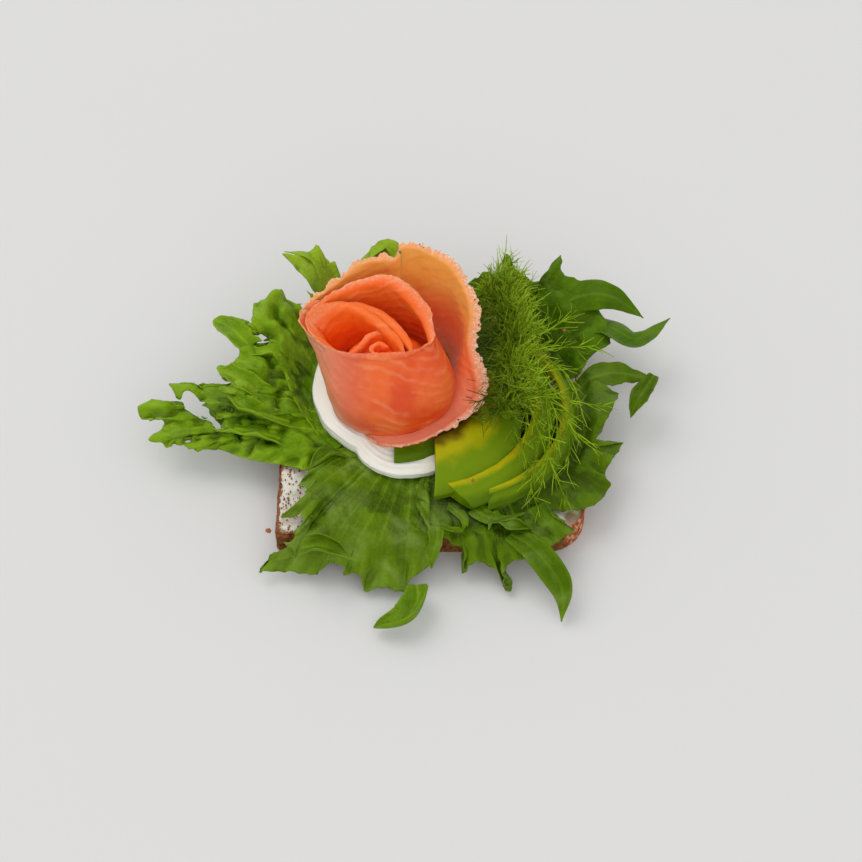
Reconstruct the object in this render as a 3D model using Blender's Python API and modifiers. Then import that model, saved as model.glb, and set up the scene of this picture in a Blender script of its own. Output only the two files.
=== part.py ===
"""Open sandwich: a slice of rye bread with spread, frilled lettuce, cream, fanned avocado, dill and a salmon rose.

Metres, +Z up. The origin is the middle of the bread's underside, +Y runs to the back of the sandwich.
The leaves, petals and slices are grids whose points follow a rule, thickened with Solidify.
"""

import math
from collections import namedtuple

import bmesh
import bpy
from mathutils import Vector, noise

MM = 0.001
GAP = 0.3  # mm, kept between pieces that touch

# Driving sizes, in millimetres.
BREAD_WIDTH = 100.0
BREAD_DEPTH = 100.0
BREAD_THICK = 9.0
CRUST_CORNER = 13.0  # the loaf's domed top, on the right
CUT_CORNER = 2.5  # the loaf's flat bottom, on the left
CORNER_STEPS = 5
BREAD_EDGE = 0.8  # rounding of its upper and lower edges
SPREAD_THICK = 0.8
SPREAD_INSET = 1.4  # how far it stops short of the bread's edge
SPREAD_PATCH = 14.0  # size of the bays in its edge
SPREAD_UNEVEN = 0.035  # and their depth, as a share of the distance to the middle
LEAF_THICK = 0.9
LEAF_BED = 11.2  # height of a leaf's middle where it lies on the spread
LEAF_OVERHANG = 3.0  # how far past the bread a leaf stays level
LEAF_FALL = 1.1  # how steeply it may fall beyond that
LEAF_LOWEST = 0.9
LOBE_FULLNESS = 4  # the higher, the rounder the lobes and the narrower the cuts between them
SALMON_THICK = 1.6
LIP_START = 0.75  # share of a petal's height above which its rim turns out
ROSE_FOOT = 20.4  # height at which the rose stands on the cream
DILL_CENTRE = (28.2, 12.0, 31.0)
DILL_REACH = (9.5, 31.0, 6.0)
DILL_DROOP = 5.0  # how far its back end hangs down
DILL_CURVE = 4.0  # how far both ends bend to the left
DILL_TAPER = 0.45  # how much thinner the ends are
DILL_LUMP = 0.22  # depth of its lumps, and how many there are to its length
DILL_LUMPS = 3.4

# The cream is two mounds that run together: centre x, y and half width, half depth.
CREAM_MOUNDS = [(-15.5, 6.0, 24.0, 27.0), (-9.0, -19.0, 12.5, 10.5)]
CREAM_HEART = (-13.0, -12.0)  # a point inside both
CREAM_RIGHT = -0.6  # the avocado pushes it in here
CREAM_BASE = 14.1
CREAM_TOP = 19.8
CREAM_FRONT = -14.0  # in front of this it is lower
CREAM_FRONT_RUN = 12.0
CREAM_FRONT_DROP = 2.2
CREAM_STEEPNESS = 1.06  # of its sides
CREAM_FLATNESS = 1.5  # of its top

# Under the toppings the leaves stay below a ceiling, which rises from a little outside them; the fan of avocado
# covers a disc.
TOPPING_CEILING = 13.2
CEILING_MARGIN = 2.0
CEILING_RISE = 1.2
FAN_CENTRE = (5.0, -5.0)
FAN_REACH = 42.0

COLOURS = {
    "rye": (0.16, 0.055, 0.018, 1.0),
    "spread": (0.78, 0.74, 0.62, 1.0),
    "lettuce": (0.10, 0.22, 0.01, 1.0),
    "cream": (0.85, 0.81, 0.70, 1.0),
    "avocado": (0.28, 0.33, 0.02, 1.0),
    "dill": (0.05, 0.12, 0.01, 1.0),
    "salmon": (0.80, 0.18, 0.05, 1.0),
}

# A rib is a vein that runs from the leaf's stem to the tip of one lobe. x, y and z are the tip, hump is how far
# the rib arches up half way, bow is how far it bends sideways, and notch is the depth of the cut to the next rib.
Rib = namedtuple("Rib", "x y z hump bow notch")
# stem_a and stem_b are the ends of the stem's width, where the first and the last rib start; pleat is how deep
# the blade sinks between two ribs.
Leaf = namedtuple("Leaf", "stem_a stem_b stem_z pleat ribs")

LEAVES = {
    "lettuce_left": Leaf(
        (-28, -15), (-25, 6), 12.0, 3.4,
        [
            Rib(-66, -21, 13, 0, -5, 0.10),
            Rib(-82, -16, 10, 4, 0, 0.22),
            Rib(-97, -5, 16, 5, -3, 0.42),
            Rib(-87, 4, 20, 3, 2, 0.22),
            Rib(-68, 6, 20, 3, 1, 0.08),
            Rib(-71, 15, 19, 4, 1, 0.24),
            Rib(-74, 31, 20, 5, 3, 0.26),
            Rib(-61, 37, 24, 3, 1, 0.06),
            Rib(-51, 40, 26, 3, 1, 0.08),
            Rib(-43, 34, 23, 2, 0, 0.10),
        ],
    ),
    "lettuce_front": Leaf(
        (-27, -17), (1.4, -23.5), 12.0, 1.8,
        [
            Rib(-43, -29, 15.5, 2, 0, 0.16),
            Rib(-49, -45, 12.5, 2, 2, 0.20),
            Rib(-54, -60, 4.5, 4, 2, 0.06),
            Rib(-38, -60, 4, 4, 0, 0.20),
            Rib(-28, -61, 4, 4, 0, 0.08),
            Rib(-19, -66, 3, 5, 0, 0.04),
            Rib(-9, -67, 3, 5, 0, 0.07),
            Rib(3.6, -58, 6, 4, 0, 0.06),
            Rib(3.4, -47, 13, 3, 0, 0.06),
            Rib(2.6, -38, 15, 1, 0, 0.10),
        ],
    ),
    "lettuce_front_right": Leaf(
        (2.4, -24.5), (25, -28), 12.0, 2.2,
        [
            Rib(4.8, -50, 12.5, 1, 0, 0.12),
            Rib(10, -61, 4, 4, 0, 0.20),
            Rib(24, -67, 2.5, 4, 0, 0.24),
            Rib(32, -58, 9, 3, 0, 0.05),
            Rib(41, -78, 1.6, 5, -5, 0.30),
            Rib(45, -54, 9, 3, -1, 0.12),
            Rib(49, -49, 13, 2, 1, 0.20),
        ],
    ),
    "lettuce_right": Leaf(
        (30, -21), (28, 1), 12.0, 2.4,
        [
            Rib(46, -40, 13, 1, 0, 0.08),
            Rib(55, -37, 11, 3, 1, 0.08),
            Rib(61, -29, 10, 3, 1, 0.12),
            Rib(64, -16, 15, 3, 0, 0.32),
            Rib(61, -2, 10, 3, 0, 0.10),
            Rib(66, 6, 13, 4, 0, 0.32),
            Rib(75, 14, 12, 5, 1, 0.18),
            Rib(57, 18, 15, 3, -2, 0.10),
        ],
    ),
    "lettuce_back_right": Leaf(
        (25, 9), (4, 18), 12.0, 2.4,
        [
            Rib(60, 21, 13, 3, 0, 0.14),
            Rib(82, 39, 14, 1, 1, 0.40),
            Rib(73, 46, 10, 11, -5, 0.24),
            Rib(56, 49, 22, 4, -1, 0.10),
            Rib(45, 56, 27, 1, -1, 0.20),
            Rib(34, 50, 22, 3, 0, 0.10),
            Rib(26, 59, 24, 2, 0, 0.14),
            Rib(12, 54, 19, 2, 0, 0.10),
        ],
    ),
    "lettuce_back_left": Leaf(
        (-26, 14), (-4, 16), 12.0, 2.0,
        [
            Rib(-40, 38, 17, 1, 1, 0.08),
            Rib(-45, 46, 23, 0, 2, 0.12),
            Rib(-51, 53, 30, -3, 5, 0.22),
            Rib(-40, 55, 32, -4, 2, 0.08),
            Rib(-31, 51, 28, -3, 0, 0.10),
            Rib(-18, 57, 30, -4, 0, 0.08),
            Rib(-6, 53, 24, -2, 0, 0.10),
            Rib(3, 48, 16, 0, 0, 0.10),
        ],
    ),
    "lettuce_curl": Leaf(
        (-7, -68.8), (-0.5, -69.6), 4.4, 1.4,
        [
            Rib(-20, -79, 2.4, 1.0, 4, 0.02),
            Rib(-14, -82, 2.0, 1.5, 7, 0.02),
            Rib(-4, -78, 3.0, 1.5, 4, 0.04),
        ],
    ),
}

# A salmon petal is a strip of fillet stood on its edge. Each station gives the foot (x, y) and the rim (x, y, z)
# of the strip there, how far its wall bulges outwards half way up (belly) and how far its rim turns out (lip).
Station = namedtuple("Station", "foot_x foot_y rim_x rim_y rim_z belly lip")

PETALS = {
    "salmon_outer": [
        Station(-33.5, 12.5, -40.5, 18.5, 46.5, 0.5, 0.5),
        Station(-28.5, 20.0, -33.0, 24.0, 51.5, 0.8, 0.8),
        Station(-20.0, 24.2, -22.0, 29.0, 56.0, 0.8, 0.8),
        Station(-11.0, 25.0, -11.5, 28.6, 57.5, 0.8, 0.6),
        Station(-3.0, 23.6, -3.0, 29.5, 61.5, 0.8, 0.6),
        Station(6.0, 19.4, 8.0, 23.4, 57.5, 1.2, 1.4),
        Station(11.6, 11.0, 13.6, 13.0, 50.0, 1.2, 2.4),
        Station(12.0, 2.5, 12.4, 3.5, 40.0, 0.6, 3.0),
        Station(9.6, -6.5, 16.4, -6.5, 32.5, 0.4, 3.2),
        Station(4.5, -14.2, 8.6, -15.4, 26.6, 0.2, 1.6),
        Station(-5.0, -19.6, -4.6, -22.6, 23.0, 0.0, 0.2),
        Station(-16.5, -19.8, -17.2, -23.0, 22.0, 0.0, 0.2),
    ],
    "salmon_wrap": [
        Station(-28.5, 5.0, -37.0, 13.0, 48.5, 1.0, 1.0),
        Station(-25.0, 14.5, -29.0, 18.4, 54.0, 1.5, 2.2),
        Station(-16.0, 19.0, -17.0, 20.6, 57.2, 1.5, 2.6),
        Station(-5.0, 16.0, -6.0, 17.4, 56.0, 1.5, 2.6),
        Station(3.6, 7.4, 1.0, 9.6, 51.2, 2.4, 2.2),
        Station(6.0, -3.0, 3.4, 1.8, 48.0, 3.2, 1.4),
        Station(0.6, -12.8, -4.4, -4.4, 47.4, 4.6, 0.8),
        Station(-10.0, -17.2, -13.5, -5.6, 47.4, 5.2, 0.4),
        Station(-21.5, -16.4, -23.5, -5.4, 47.2, 4.8, 0.4),
        Station(-30.0, -9.6, -33.0, -2.2, 46.4, 3.2, 0.8),
        Station(-34.6, 0.5, -42.6, 9.6, 46.2, 1.4, 1.2),
    ],
    "salmon_fold_outer": [
        Station(-22.5, 10.0, -26.0, 14.6, 50.5, 0.6, 0.6),
        Station(-16.0, 11.0, -17.6, 13.0, 51.0, 0.6, 0.8),
        Station(-8.5, 7.6, -9.6, 8.8, 50.0, 0.8, 0.8),
        Station(-3.6, 1.8, -3.4, 3.0, 48.6, 0.8, 0.6),
        Station(-3.6, -5.6, -2.6, -0.8, 46.6, 0.6, 0.2),
    ],
    "salmon_fold_inner": [
        Station(-27.6, 0.0, -35.0, 8.8, 48.4, 0.6, 0.6),
        Station(-23.5, 6.6, -28.6, 12.6, 50.0, 0.8, 0.8),
        Station(-17.0, 7.4, -18.8, 9.8, 50.0, 0.8, 0.8),
        Station(-10.6, 3.6, -11.2, 4.8, 49.4, 0.8, 0.8),
        Station(-8.2, -4.6, -6.8, -1.0, 46.8, 0.6, 0.2),
    ],
    "salmon_core": [
        Station(-20.6, -4.6, -22.0, -0.8, 43.6, 0.4, 0.2),
        Station(-19.4, 1.8, -20.4, 5.2, 45.6, 0.4, 0.4),
        Station(-14.6, 2.4, -15.2, 4.2, 46.4, 0.4, 0.6),
        Station(-12.6, -5.4, -11.0, -2.4, 45.0, 0.4, 0.2),
    ],
}

SLICE_EDGE = 0.6  # rounding of a slice's edges
FIRST_TAPER = 3.0  # how fast a slice reaches its full size at its first end
LAST_TAPER = 0.4  # share of its arc after which it tapers to the other end

# An avocado slice is a wedge that lies on an arc: its centre, the ridge's radius and height, the first and last
# angle, the width and slope of the face outside the ridge, the thickness at its outer side, and how far it
# tapers at either end.
Slice = namedtuple("Slice", "x y radius top start end width slope thick taper_a taper_b")

SLICES = {
    "avocado_slice_0": Slice(-12.0, 3.0, 21.2, 19.9, -90, -22, 9.2, 12, 2.0, 1.0, 0.7),
    "avocado_slice_1": Slice(-6.0, 3.0, 30.4, 23.2, -77, 12, 9.4, 32, 3.4, 1.0, 0.5),
    "avocado_slice_2": Slice(-1.0, -1.0, 35.2, 21.2, -76, 20, 7.0, 32, 2.9, 0.7, 0.35),
    "avocado_slice_3": Slice(4.8, -5.0, 36.4, 19.6, -73, 54, 5.6, 32, 2.4, 0.5, 0.4),
}


def clear_scene():
    for obj in list(bpy.data.objects):
        bpy.data.objects.remove(obj, do_unlink=True)


def new_collection(name):
    collection = bpy.data.collections.new(name)
    bpy.context.scene.collection.children.link(collection)
    return collection


def material(name, roughness):
    """A Principled material in the colour of one food, shared by its pieces."""
    found = bpy.data.materials.get(name)
    if found:
        return found
    made = bpy.data.materials.new(name)
    made.use_nodes = True
    shader = made.node_tree.nodes["Principled BSDF"]
    shader.inputs["Base Color"].default_value = COLOURS[name]
    shader.inputs["Roughness"].default_value = roughness
    shader.inputs["Metallic"].default_value = 0.0
    made.diffuse_color = COLOURS[name]
    return made


def add_piece(name, mesh_data, food, roughness, collection):
    mesh = bpy.data.meshes.new(name)
    mesh_data.to_mesh(mesh)
    mesh_data.free()
    mesh.shade_smooth()
    piece = bpy.data.objects.new(name, mesh)
    piece.data.materials.append(material(food, roughness))
    collection.objects.link(piece)
    return piece


def thicken(piece, thickness):
    solid = piece.modifiers.new("Thickness", "SOLIDIFY")
    solid.thickness = thickness * MM
    solid.offset = 0.0
    solid.use_even_offset = False
    return solid


def place_grid(columns, rows, point):
    """A grid whose corner (u, v), both 0 to 1, lies at point(u, v) in millimetres."""
    grid = bmesh.new()
    bmesh.ops.create_grid(grid, x_segments=columns, y_segments=rows, size=1.0)
    for vertex in grid.verts:
        u, v = (vertex.co.x + 1) / 2, (vertex.co.y + 1) / 2
        vertex.co = Vector(point(u, v)) * MM
    return grid


def smooth(share):
    share = min(max(share, 0.0), 1.0)
    return share * share * (3 - 2 * share)


def between(a, b, share):
    return [p + (q - p) * share for p, q in zip(a, b)]


def through(stations, share):
    """The value at share, 0 to 1, on a smooth curve through the stations (Catmull-Rom)."""
    spans = len(stations) - 1
    k = min(int(share * spans), spans - 1)
    f = share * spans - k
    before = stations[max(k - 1, 0)]
    after = stations[min(k + 2, spans)]
    values = []
    for p0, p1, p2, p3 in zip(before, stations[k], stations[k + 1], after):
        values.append(
            p1 + 0.5 * f * (p2 - p0 + f * (2 * p0 - 5 * p1 + 4 * p2 - p3 + f * (3 * (p1 - p2) + p3 - p0)))
        )
    return values


def outside_rectangle(x, y, half_x, half_y):
    """How far a point lies outside a rectangle about the origin; 0 inside it."""
    return math.hypot(max(abs(x) - half_x, 0), max(abs(y) - half_y, 0))


def outside_toppings(x, y):
    """How far a point of the plan lies outside the cream and the avocado fan; 0 under them."""
    distances = []
    for cx, cy, half_x, half_y in CREAM_MOUNDS:
        distances.append((math.hypot((x - cx) / half_x, (y - cy) / half_y) - 1) * min(half_x, half_y))
    if x > CREAM_RIGHT:
        distances.append(math.hypot(x - FAN_CENTRE[0], y - FAN_CENTRE[1]) - FAN_REACH)
    return max(min(distances), 0.0)


def leaf_height(x, y, z):
    """A leaf's height, kept above the spread or the table and below the toppings."""
    beyond = outside_rectangle(x, y, BREAD_WIDTH / 2 + LEAF_OVERHANG, BREAD_DEPTH / 2 + LEAF_OVERHANG)
    floor = max(LEAF_LOWEST, LEAF_BED - LEAF_FALL * beyond)
    ceiling = TOPPING_CEILING + CEILING_RISE * max(outside_toppings(x, y) - CEILING_MARGIN, 0.0)
    return max(min(z, ceiling), floor)


def rib_point(leaf, index, along):
    """A point on one rib, along being 0 at the stem and 1 at the tip."""
    rib = leaf.ribs[index]
    x0, y0 = between(leaf.stem_a, leaf.stem_b, index / (len(leaf.ribs) - 1))
    run_x, run_y = rib.x - x0, rib.y - y0
    length = math.hypot(run_x, run_y)
    bend = rib.bow * math.sin(math.pi * along)
    x = x0 + run_x * along + run_y / length * bend
    y = y0 + run_y * along - run_x / length * bend
    z = leaf.stem_z + (rib.z - leaf.stem_z) * along + rib.hump * math.sin(math.pi * along)
    return x, y, z


def leaf_point(leaf, u, v):
    """u runs across the ribs and v from the stem to the cut edge."""
    gaps = len(leaf.ribs) - 1
    k = min(int(u * gaps), gaps - 1)
    middle = math.sin(math.pi * (u * gaps - k))  # 0 on a rib and 1 half way to the next
    along = v * (1 - leaf.ribs[k].notch * middle**LOBE_FULLNESS)
    x, y, z = through([rib_point(leaf, index, along) for index in range(gaps + 1)], u)
    z -= leaf.pleat * middle**2 * along**1.5
    return x, y, leaf_height(x, y, z)


def raise_sheet(sheet, height):
    """Turns an open sheet into a closed body by pulling a copy of its faces straight up, in millimetres."""
    lifted = bmesh.ops.extrude_face_region(sheet, geom=sheet.faces[:])
    risen = [item for item in lifted["geom"] if isinstance(item, bmesh.types.BMVert)]
    bmesh.ops.translate(sheet, verts=risen, vec=(0, 0, height * MM))
    bmesh.ops.recalc_face_normals(sheet, faces=sheet.faces[:])
    return sheet


def make_leaf(name, leaf, collection):
    grid = place_grid(5 * (len(leaf.ribs) - 1), 5, lambda u, v: leaf_point(leaf, u, v))
    bmesh.ops.triangulate(grid, faces=grid.faces[:])  # so that both sides of the leaf bend along the same lines
    bmesh.ops.translate(grid, verts=grid.verts[:], vec=(0, 0, -LEAF_THICK / 2 * MM))
    add_piece(name, raise_sheet(grid, LEAF_THICK), "lettuce", 0.45, collection)


def petal_point(stations, u, v):
    """u runs along the strip and v from its foot to its rim; belly and lip push it to the left of the run."""
    here = Station(*through(stations, u))
    ahead = Station(*through(stations, min(u + 0.02, 1.0)))
    behind = Station(*through(stations, max(u - 0.02, 0.0)))
    run_x = ahead.foot_x + ahead.rim_x - behind.foot_x - behind.rim_x
    run_y = ahead.foot_y + ahead.rim_y - behind.foot_y - behind.rim_y
    length = math.hypot(run_x, run_y)
    rim = max(0.0, (v - LIP_START) / (1 - LIP_START))
    out = here.belly * math.sin(math.pi * v) + here.lip * rim * rim
    x = here.foot_x + (here.rim_x - here.foot_x) * v - run_y / length * out
    y = here.foot_y + (here.rim_y - here.foot_y) * v + run_x / length * out
    foot = ROSE_FOOT + SALMON_THICK / 2
    return x, y, foot + (here.rim_z - foot) * v


def make_petal(name, stations, collection):
    columns = 3 * (len(stations) - 1)
    grid = place_grid(columns, 5, lambda u, v: petal_point(stations, u, v))
    thicken(add_piece(name, grid, "salmon", 0.35, collection), SALMON_THICK)


def slice_size(cut, share):
    """The slice's size where it has run this share of its arc; 1 is full size."""
    first = min(cut.taper_a + FIRST_TAPER * max(share, 0.0), 1.0)
    last = 1 - (1 - cut.taper_b) * smooth((share - LAST_TAPER) / (1 - LAST_TAPER))
    return first * last


def slice_section(cut, share, grow=0.0):
    """The wedge's outline at that share, as points (x, y, z); grow makes it fatter all round."""
    angle = math.radians(cut.start + (cut.end - cut.start) * share)
    slope = math.radians(cut.slope)
    size = slice_size(cut, share)
    reach, drop = cut.width * size * math.cos(slope), cut.width * size * math.sin(slope)
    thick = cut.thick * (1 + size) / 2
    outline = [
        (-SLICE_EDGE - grow, -SLICE_EDGE),
        (SLICE_EDGE, grow),
        (reach - SLICE_EDGE, SLICE_EDGE / 2 - drop + grow),
        (reach + SLICE_EDGE + grow, -drop - SLICE_EDGE),
        (reach + grow, -drop - thick - grow),
        (-grow, -drop - thick - grow),
    ]
    points = []
    for out, up in outline:
        radius = cut.radius + out
        points.append((cut.x + radius * math.cos(angle), cut.y + radius * math.sin(angle), cut.top + up))
    return points


def slice_body(cut, grow=0.0, steps=14):
    """A wedge swept along its arc, closed by a flat cut at each end."""
    body = bmesh.new()
    reach = grow / cut.width
    shares = [-reach + (1 + 2 * reach) * i / steps for i in range(steps + 1)]
    rings = [[body.verts.new(Vector(p) * MM) for p in slice_section(cut, share, grow)] for share in shares]
    for ring, following in zip(rings, rings[1:]):
        for k in range(len(ring)):
            n = (k + 1) % len(ring)
            body.faces.new((ring[k], ring[n], following[n], following[k]))
    body.faces.new(rings[0])
    body.faces.new(rings[-1])
    bmesh.ops.recalc_face_normals(body, faces=body.faces)
    return body


def bread_outline(inset):
    """The slice's outline drawn in by inset: square at the loaf's bottom, on the left, and round at its top."""
    corners = [(-1, -1, CUT_CORNER), (1, -1, CRUST_CORNER), (1, 1, CRUST_CORNER), (-1, 1, CUT_CORNER)]
    points = []
    for quarter, (side_x, side_y, radius) in enumerate(corners):
        centre_x = side_x * (BREAD_WIDTH / 2 - radius)
        centre_y = side_y * (BREAD_DEPTH / 2 - radius)
        for step in range(CORNER_STEPS + 1):
            angle = math.pi / 2 * (2 + quarter + step / CORNER_STEPS)
            reach = radius - inset
            points.append((centre_x + reach * math.cos(angle), centre_y + reach * math.sin(angle)))
    return points


def divide_sides(outline, longest):
    """The same closed outline, with points added so that no side is longer than this."""
    divided = []
    for start, stop in zip(outline, outline[1:] + outline[:1]):
        pieces = math.ceil(math.dist(start, stop) / longest)
        divided += [between(start, stop, step / pieces) for step in range(pieces)]
    return divided


def make_slab(name, outline, bottom, top, food, roughness, collection):
    """A flat piece between two heights, with the outline's shape."""
    sheet = bmesh.new()
    sheet.faces.new([sheet.verts.new(Vector((x, y, bottom)) * MM) for x, y in outline])
    return add_piece(name, raise_sheet(sheet, top - bottom), food, roughness, collection)


def make_bread(collection):
    piece = make_slab("rye_bread", bread_outline(0.0), 0.0, BREAD_THICK, "rye", 0.8, collection)
    rounding = piece.modifiers.new("Soft edges", "BEVEL")
    rounding.width = BREAD_EDGE * MM
    rounding.segments = 2
    rounding.limit_method = "ANGLE"


def make_spread(collection):
    """The spread ends in uneven bays, a little inside the bread's edge."""
    outline = []
    for x, y in divide_sides(bread_outline(SPREAD_INSET), SPREAD_PATCH):
        pull = SPREAD_UNEVEN * (1 + noise.noise(Vector((x, y, 0.0)) / SPREAD_PATCH)) / 2
        outline.append((x * (1 - pull), y * (1 - pull)))
    bottom = BREAD_THICK + GAP
    make_slab("spread", outline, bottom, bottom + SPREAD_THICK, "spread", 0.5, collection)


def cream_reach(angle):
    """How far the cream's outline lies from CREAM_HEART in one direction: the farther of the two mounds."""
    step_x, step_y = math.cos(angle), math.sin(angle)
    farthest = 0.0
    for cx, cy, half_x, half_y in CREAM_MOUNDS:
        px, py = (CREAM_HEART[0] - cx) / half_x, (CREAM_HEART[1] - cy) / half_y
        dx, dy = step_x / half_x, step_y / half_y
        a, b, c = dx * dx + dy * dy, px * dx + py * dy, px * px + py * py - 1
        farthest = max(farthest, (-b + math.sqrt(b * b - a * c)) / a)
    return farthest


def cream_point(direction):
    """The cream is a squashed mound on that outline; direction is a point of the unit sphere."""
    around = math.atan2(direction.y, direction.x)
    side = math.sqrt(max(1 - direction.z * direction.z, 0.0))
    reach = cream_reach(around) * min(side * CREAM_STEEPNESS, 1.0)
    x = CREAM_HEART[0] + reach * math.cos(around)
    y = CREAM_HEART[1] + reach * math.sin(around)
    level = max(min(direction.z * CREAM_FLATNESS, 1.0), -1.0)
    top = CREAM_TOP - CREAM_FRONT_DROP * smooth((CREAM_FRONT - y) / CREAM_FRONT_RUN)
    z = (CREAM_BASE + top) / 2 + (top - CREAM_BASE) / 2 * level
    return Vector((min(x, CREAM_RIGHT), y, z)) * MM


def make_cream(collection, helpers):
    """The mound of cream, with a bed cut in it for the slice that lies on its front."""
    ball = bmesh.new()
    bmesh.ops.create_uvsphere(ball, u_segments=28, v_segments=9, radius=1.0)
    for vertex in ball.verts:
        vertex.co = cream_point(vertex.co.normalized())
    piece = add_piece("cream", ball, "cream", 0.4, collection)
    bed = add_piece("slice_bed", slice_body(SLICES["avocado_slice_0"], GAP), "avocado", 0.4, helpers)
    bed.hide_render = True
    bed.display_type = "WIRE"
    cut = piece.modifiers.new("Bed of the slice", "BOOLEAN")
    cut.operation = "DIFFERENCE"
    cut.solver = "EXACT"
    cut.object = bed


def dill_point(direction):
    """The dill's tuft: a long lumpy bundle, thick beside the rose and thin at both ends."""
    along = direction.y
    thick = 1 - DILL_TAPER * along * along
    lump = 1 + DILL_LUMP * noise.noise(direction * DILL_LUMPS)
    x = DILL_CENTRE[0] - DILL_CURVE * along * along + DILL_REACH[0] * thick * lump * direction.x
    y = DILL_CENTRE[1] + DILL_REACH[1] * lump * along
    z = DILL_CENTRE[2] + DILL_REACH[2] * thick * lump * direction.z - DILL_DROOP * max(along, 0.0) ** 2
    return Vector((x, y, z)) * MM


def make_dill(collection):
    ball = bmesh.new()
    bmesh.ops.create_uvsphere(ball, u_segments=20, v_segments=13, radius=1.0)
    for vertex in ball.verts:
        vertex.co = dill_point(vertex.co.normalized())
    add_piece("dill", ball, "dill", 0.6, collection)


def main():
    clear_scene()
    parts = new_collection("open_sandwich")
    helpers = new_collection("cutters")
    make_bread(parts)
    make_spread(parts)
    for name, leaf in LEAVES.items():
        make_leaf(name, leaf, parts)
    make_cream(parts, helpers)
    for name, cut in SLICES.items():
        add_piece(name, slice_body(cut), "avocado", 0.4, parts)
    for name, stations in PETALS.items():
        make_petal(name, stations, parts)
    make_dill(parts)


main()
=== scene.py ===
# %% [markdown]
# # An open sandwich with a smoked salmon rose
#
# A slice of dark rye lies under a thin coat of cream cheese, frilled lettuce, a mound of whipped cream
# cheese, fanned avocado, a tuft of dill and a rose rolled from smoked salmon. The solids of the sandwich are
# loaded first, as a fixed frame. Every step below dresses one food: it makes the real surface in the space
# that the solid holds, and gives it a material.

# %% Load the frame
import math
from collections import namedtuple
from functools import partial

import bmesh
import bpy
import numpy as np
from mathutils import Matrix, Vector, noise


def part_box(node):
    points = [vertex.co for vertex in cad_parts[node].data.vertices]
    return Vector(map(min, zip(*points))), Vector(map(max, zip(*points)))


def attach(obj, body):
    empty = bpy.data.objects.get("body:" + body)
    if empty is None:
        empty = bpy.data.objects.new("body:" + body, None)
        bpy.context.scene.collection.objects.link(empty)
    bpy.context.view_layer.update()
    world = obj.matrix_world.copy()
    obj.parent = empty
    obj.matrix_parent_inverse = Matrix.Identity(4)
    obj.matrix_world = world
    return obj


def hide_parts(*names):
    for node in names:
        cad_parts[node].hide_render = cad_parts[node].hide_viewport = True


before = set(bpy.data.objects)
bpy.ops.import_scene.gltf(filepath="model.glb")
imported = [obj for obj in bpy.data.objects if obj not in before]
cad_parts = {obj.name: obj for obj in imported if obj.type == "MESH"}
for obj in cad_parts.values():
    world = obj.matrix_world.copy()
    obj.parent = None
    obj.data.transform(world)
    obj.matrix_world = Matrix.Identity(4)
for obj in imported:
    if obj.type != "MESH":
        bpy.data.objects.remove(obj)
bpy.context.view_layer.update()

# %% [markdown]
# ## Helpers
#
# Everything below is measured in millimetres and turned to metres once, when a mesh is made. Colours are
# written as sRGB hex values, as a colour picker shows them, and one function turns them to the linear values
# that Blender's sockets want. One function adds a node, with its settings and links, to any node tree.

# %% Units, colours and nodes
MM = 0.001


def linear(hex_colour):
    """A linear RGBA colour from an sRGB hex value."""
    channels = [int(hex_colour[i : i + 2], 16) / 255 for i in (1, 3, 5)]
    return [c / 12.92 if c <= 0.04045 else ((c + 0.055) / 1.055) ** 2.4 for c in channels] + [1.0]


def per_mm(size):
    """The scale of a texture whose features measure this many millimetres."""
    return 1 / (size * MM)


def add_node(tree, kind, inputs=None, output=0, **settings):
    """Adds a node and returns one of its outputs.

    Each input is a number, a vector, a hex colour, or the output of another node, which is linked.
    """
    node = tree.nodes.new(kind)
    for name, value in settings.items():
        setattr(node, name, value)
    for name, value in (inputs or {}).items():
        if isinstance(value, bpy.types.NodeSocket):
            tree.links.new(value, node.inputs[name])
        else:
            node.inputs[name].default_value = linear(value) if isinstance(value, str) else value
    return node.outputs[output] if node.outputs else node


def make_material(name, finish, *tones):
    """A material from a function that adds its nodes and returns the values of its shader's sockets.

    The function gets add_node tied to the material's tree, the place of a point on the object, and the tones.
    """
    material = bpy.data.materials.new(name)
    material.use_nodes = True
    material.node_tree.nodes.clear()
    add = partial(add_node, material.node_tree)
    values = finish(add, add("ShaderNodeTexCoord", output="Object"), *tones)
    add("ShaderNodeOutputMaterial", {0: add("ShaderNodeBsdfPrincipled", values)})
    return material


def lay_tones(add, colour, layers):
    """Lays tones over a colour, one after the other, and returns the result.

    Each layer gives a value, where the tone starts and where it shows most, how much it then covers, the
    tone, and whether it comes in softly ("SMOOTHSTEP") or evenly ("LINEAR").
    """
    for value, start, full, cover, tone, entry in layers:
        share = add("ShaderNodeMapRange", {0: value, 1: start, 2: full, 4: cover}, interpolation_type=entry)
        colour = add("ShaderNodeMix", {0: share, 6: colour, 7: tone}, 2, data_type="RGBA")
    return colour


print("one millimetre is", MM, "m; a mid grey is", [round(c, 3) for c in linear("#808080")[:3]])

# %% [markdown]
# ## Sheets
#
# Leaves and slices of salmon are thin sheets. Each is worked out as a grid of points with NumPy, together
# with a few values that its material uses: a surface map in real millimetres, how much of a vein runs there
# (lowered by painted shade in a leaf's hollows and beside the avocado), and how near the edge it is.
# `closed_sheets` gives every grid its thickness and joins them into one closed mesh. This is faster than a
# Solidify modifier and lets the thickness fade towards the edge, as it does on food.

# %% Sheets of real thickness
Sheet = namedtuple("Sheet", "points surface vein edge thick")
GAP_ROUNDS = 4


def smoothstep(value, low, high):
    """0 up to low, 1 from high on, and a soft rise in between."""
    share = np.clip((value - low) / (high - low), 0.0, 1.0)
    return share * share * (3 - 2 * share)


def unit(vectors):
    """The same directions, one long."""
    return vectors / np.maximum(np.linalg.norm(vectors, axis=-1, keepdims=True), 1e-9)


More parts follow.
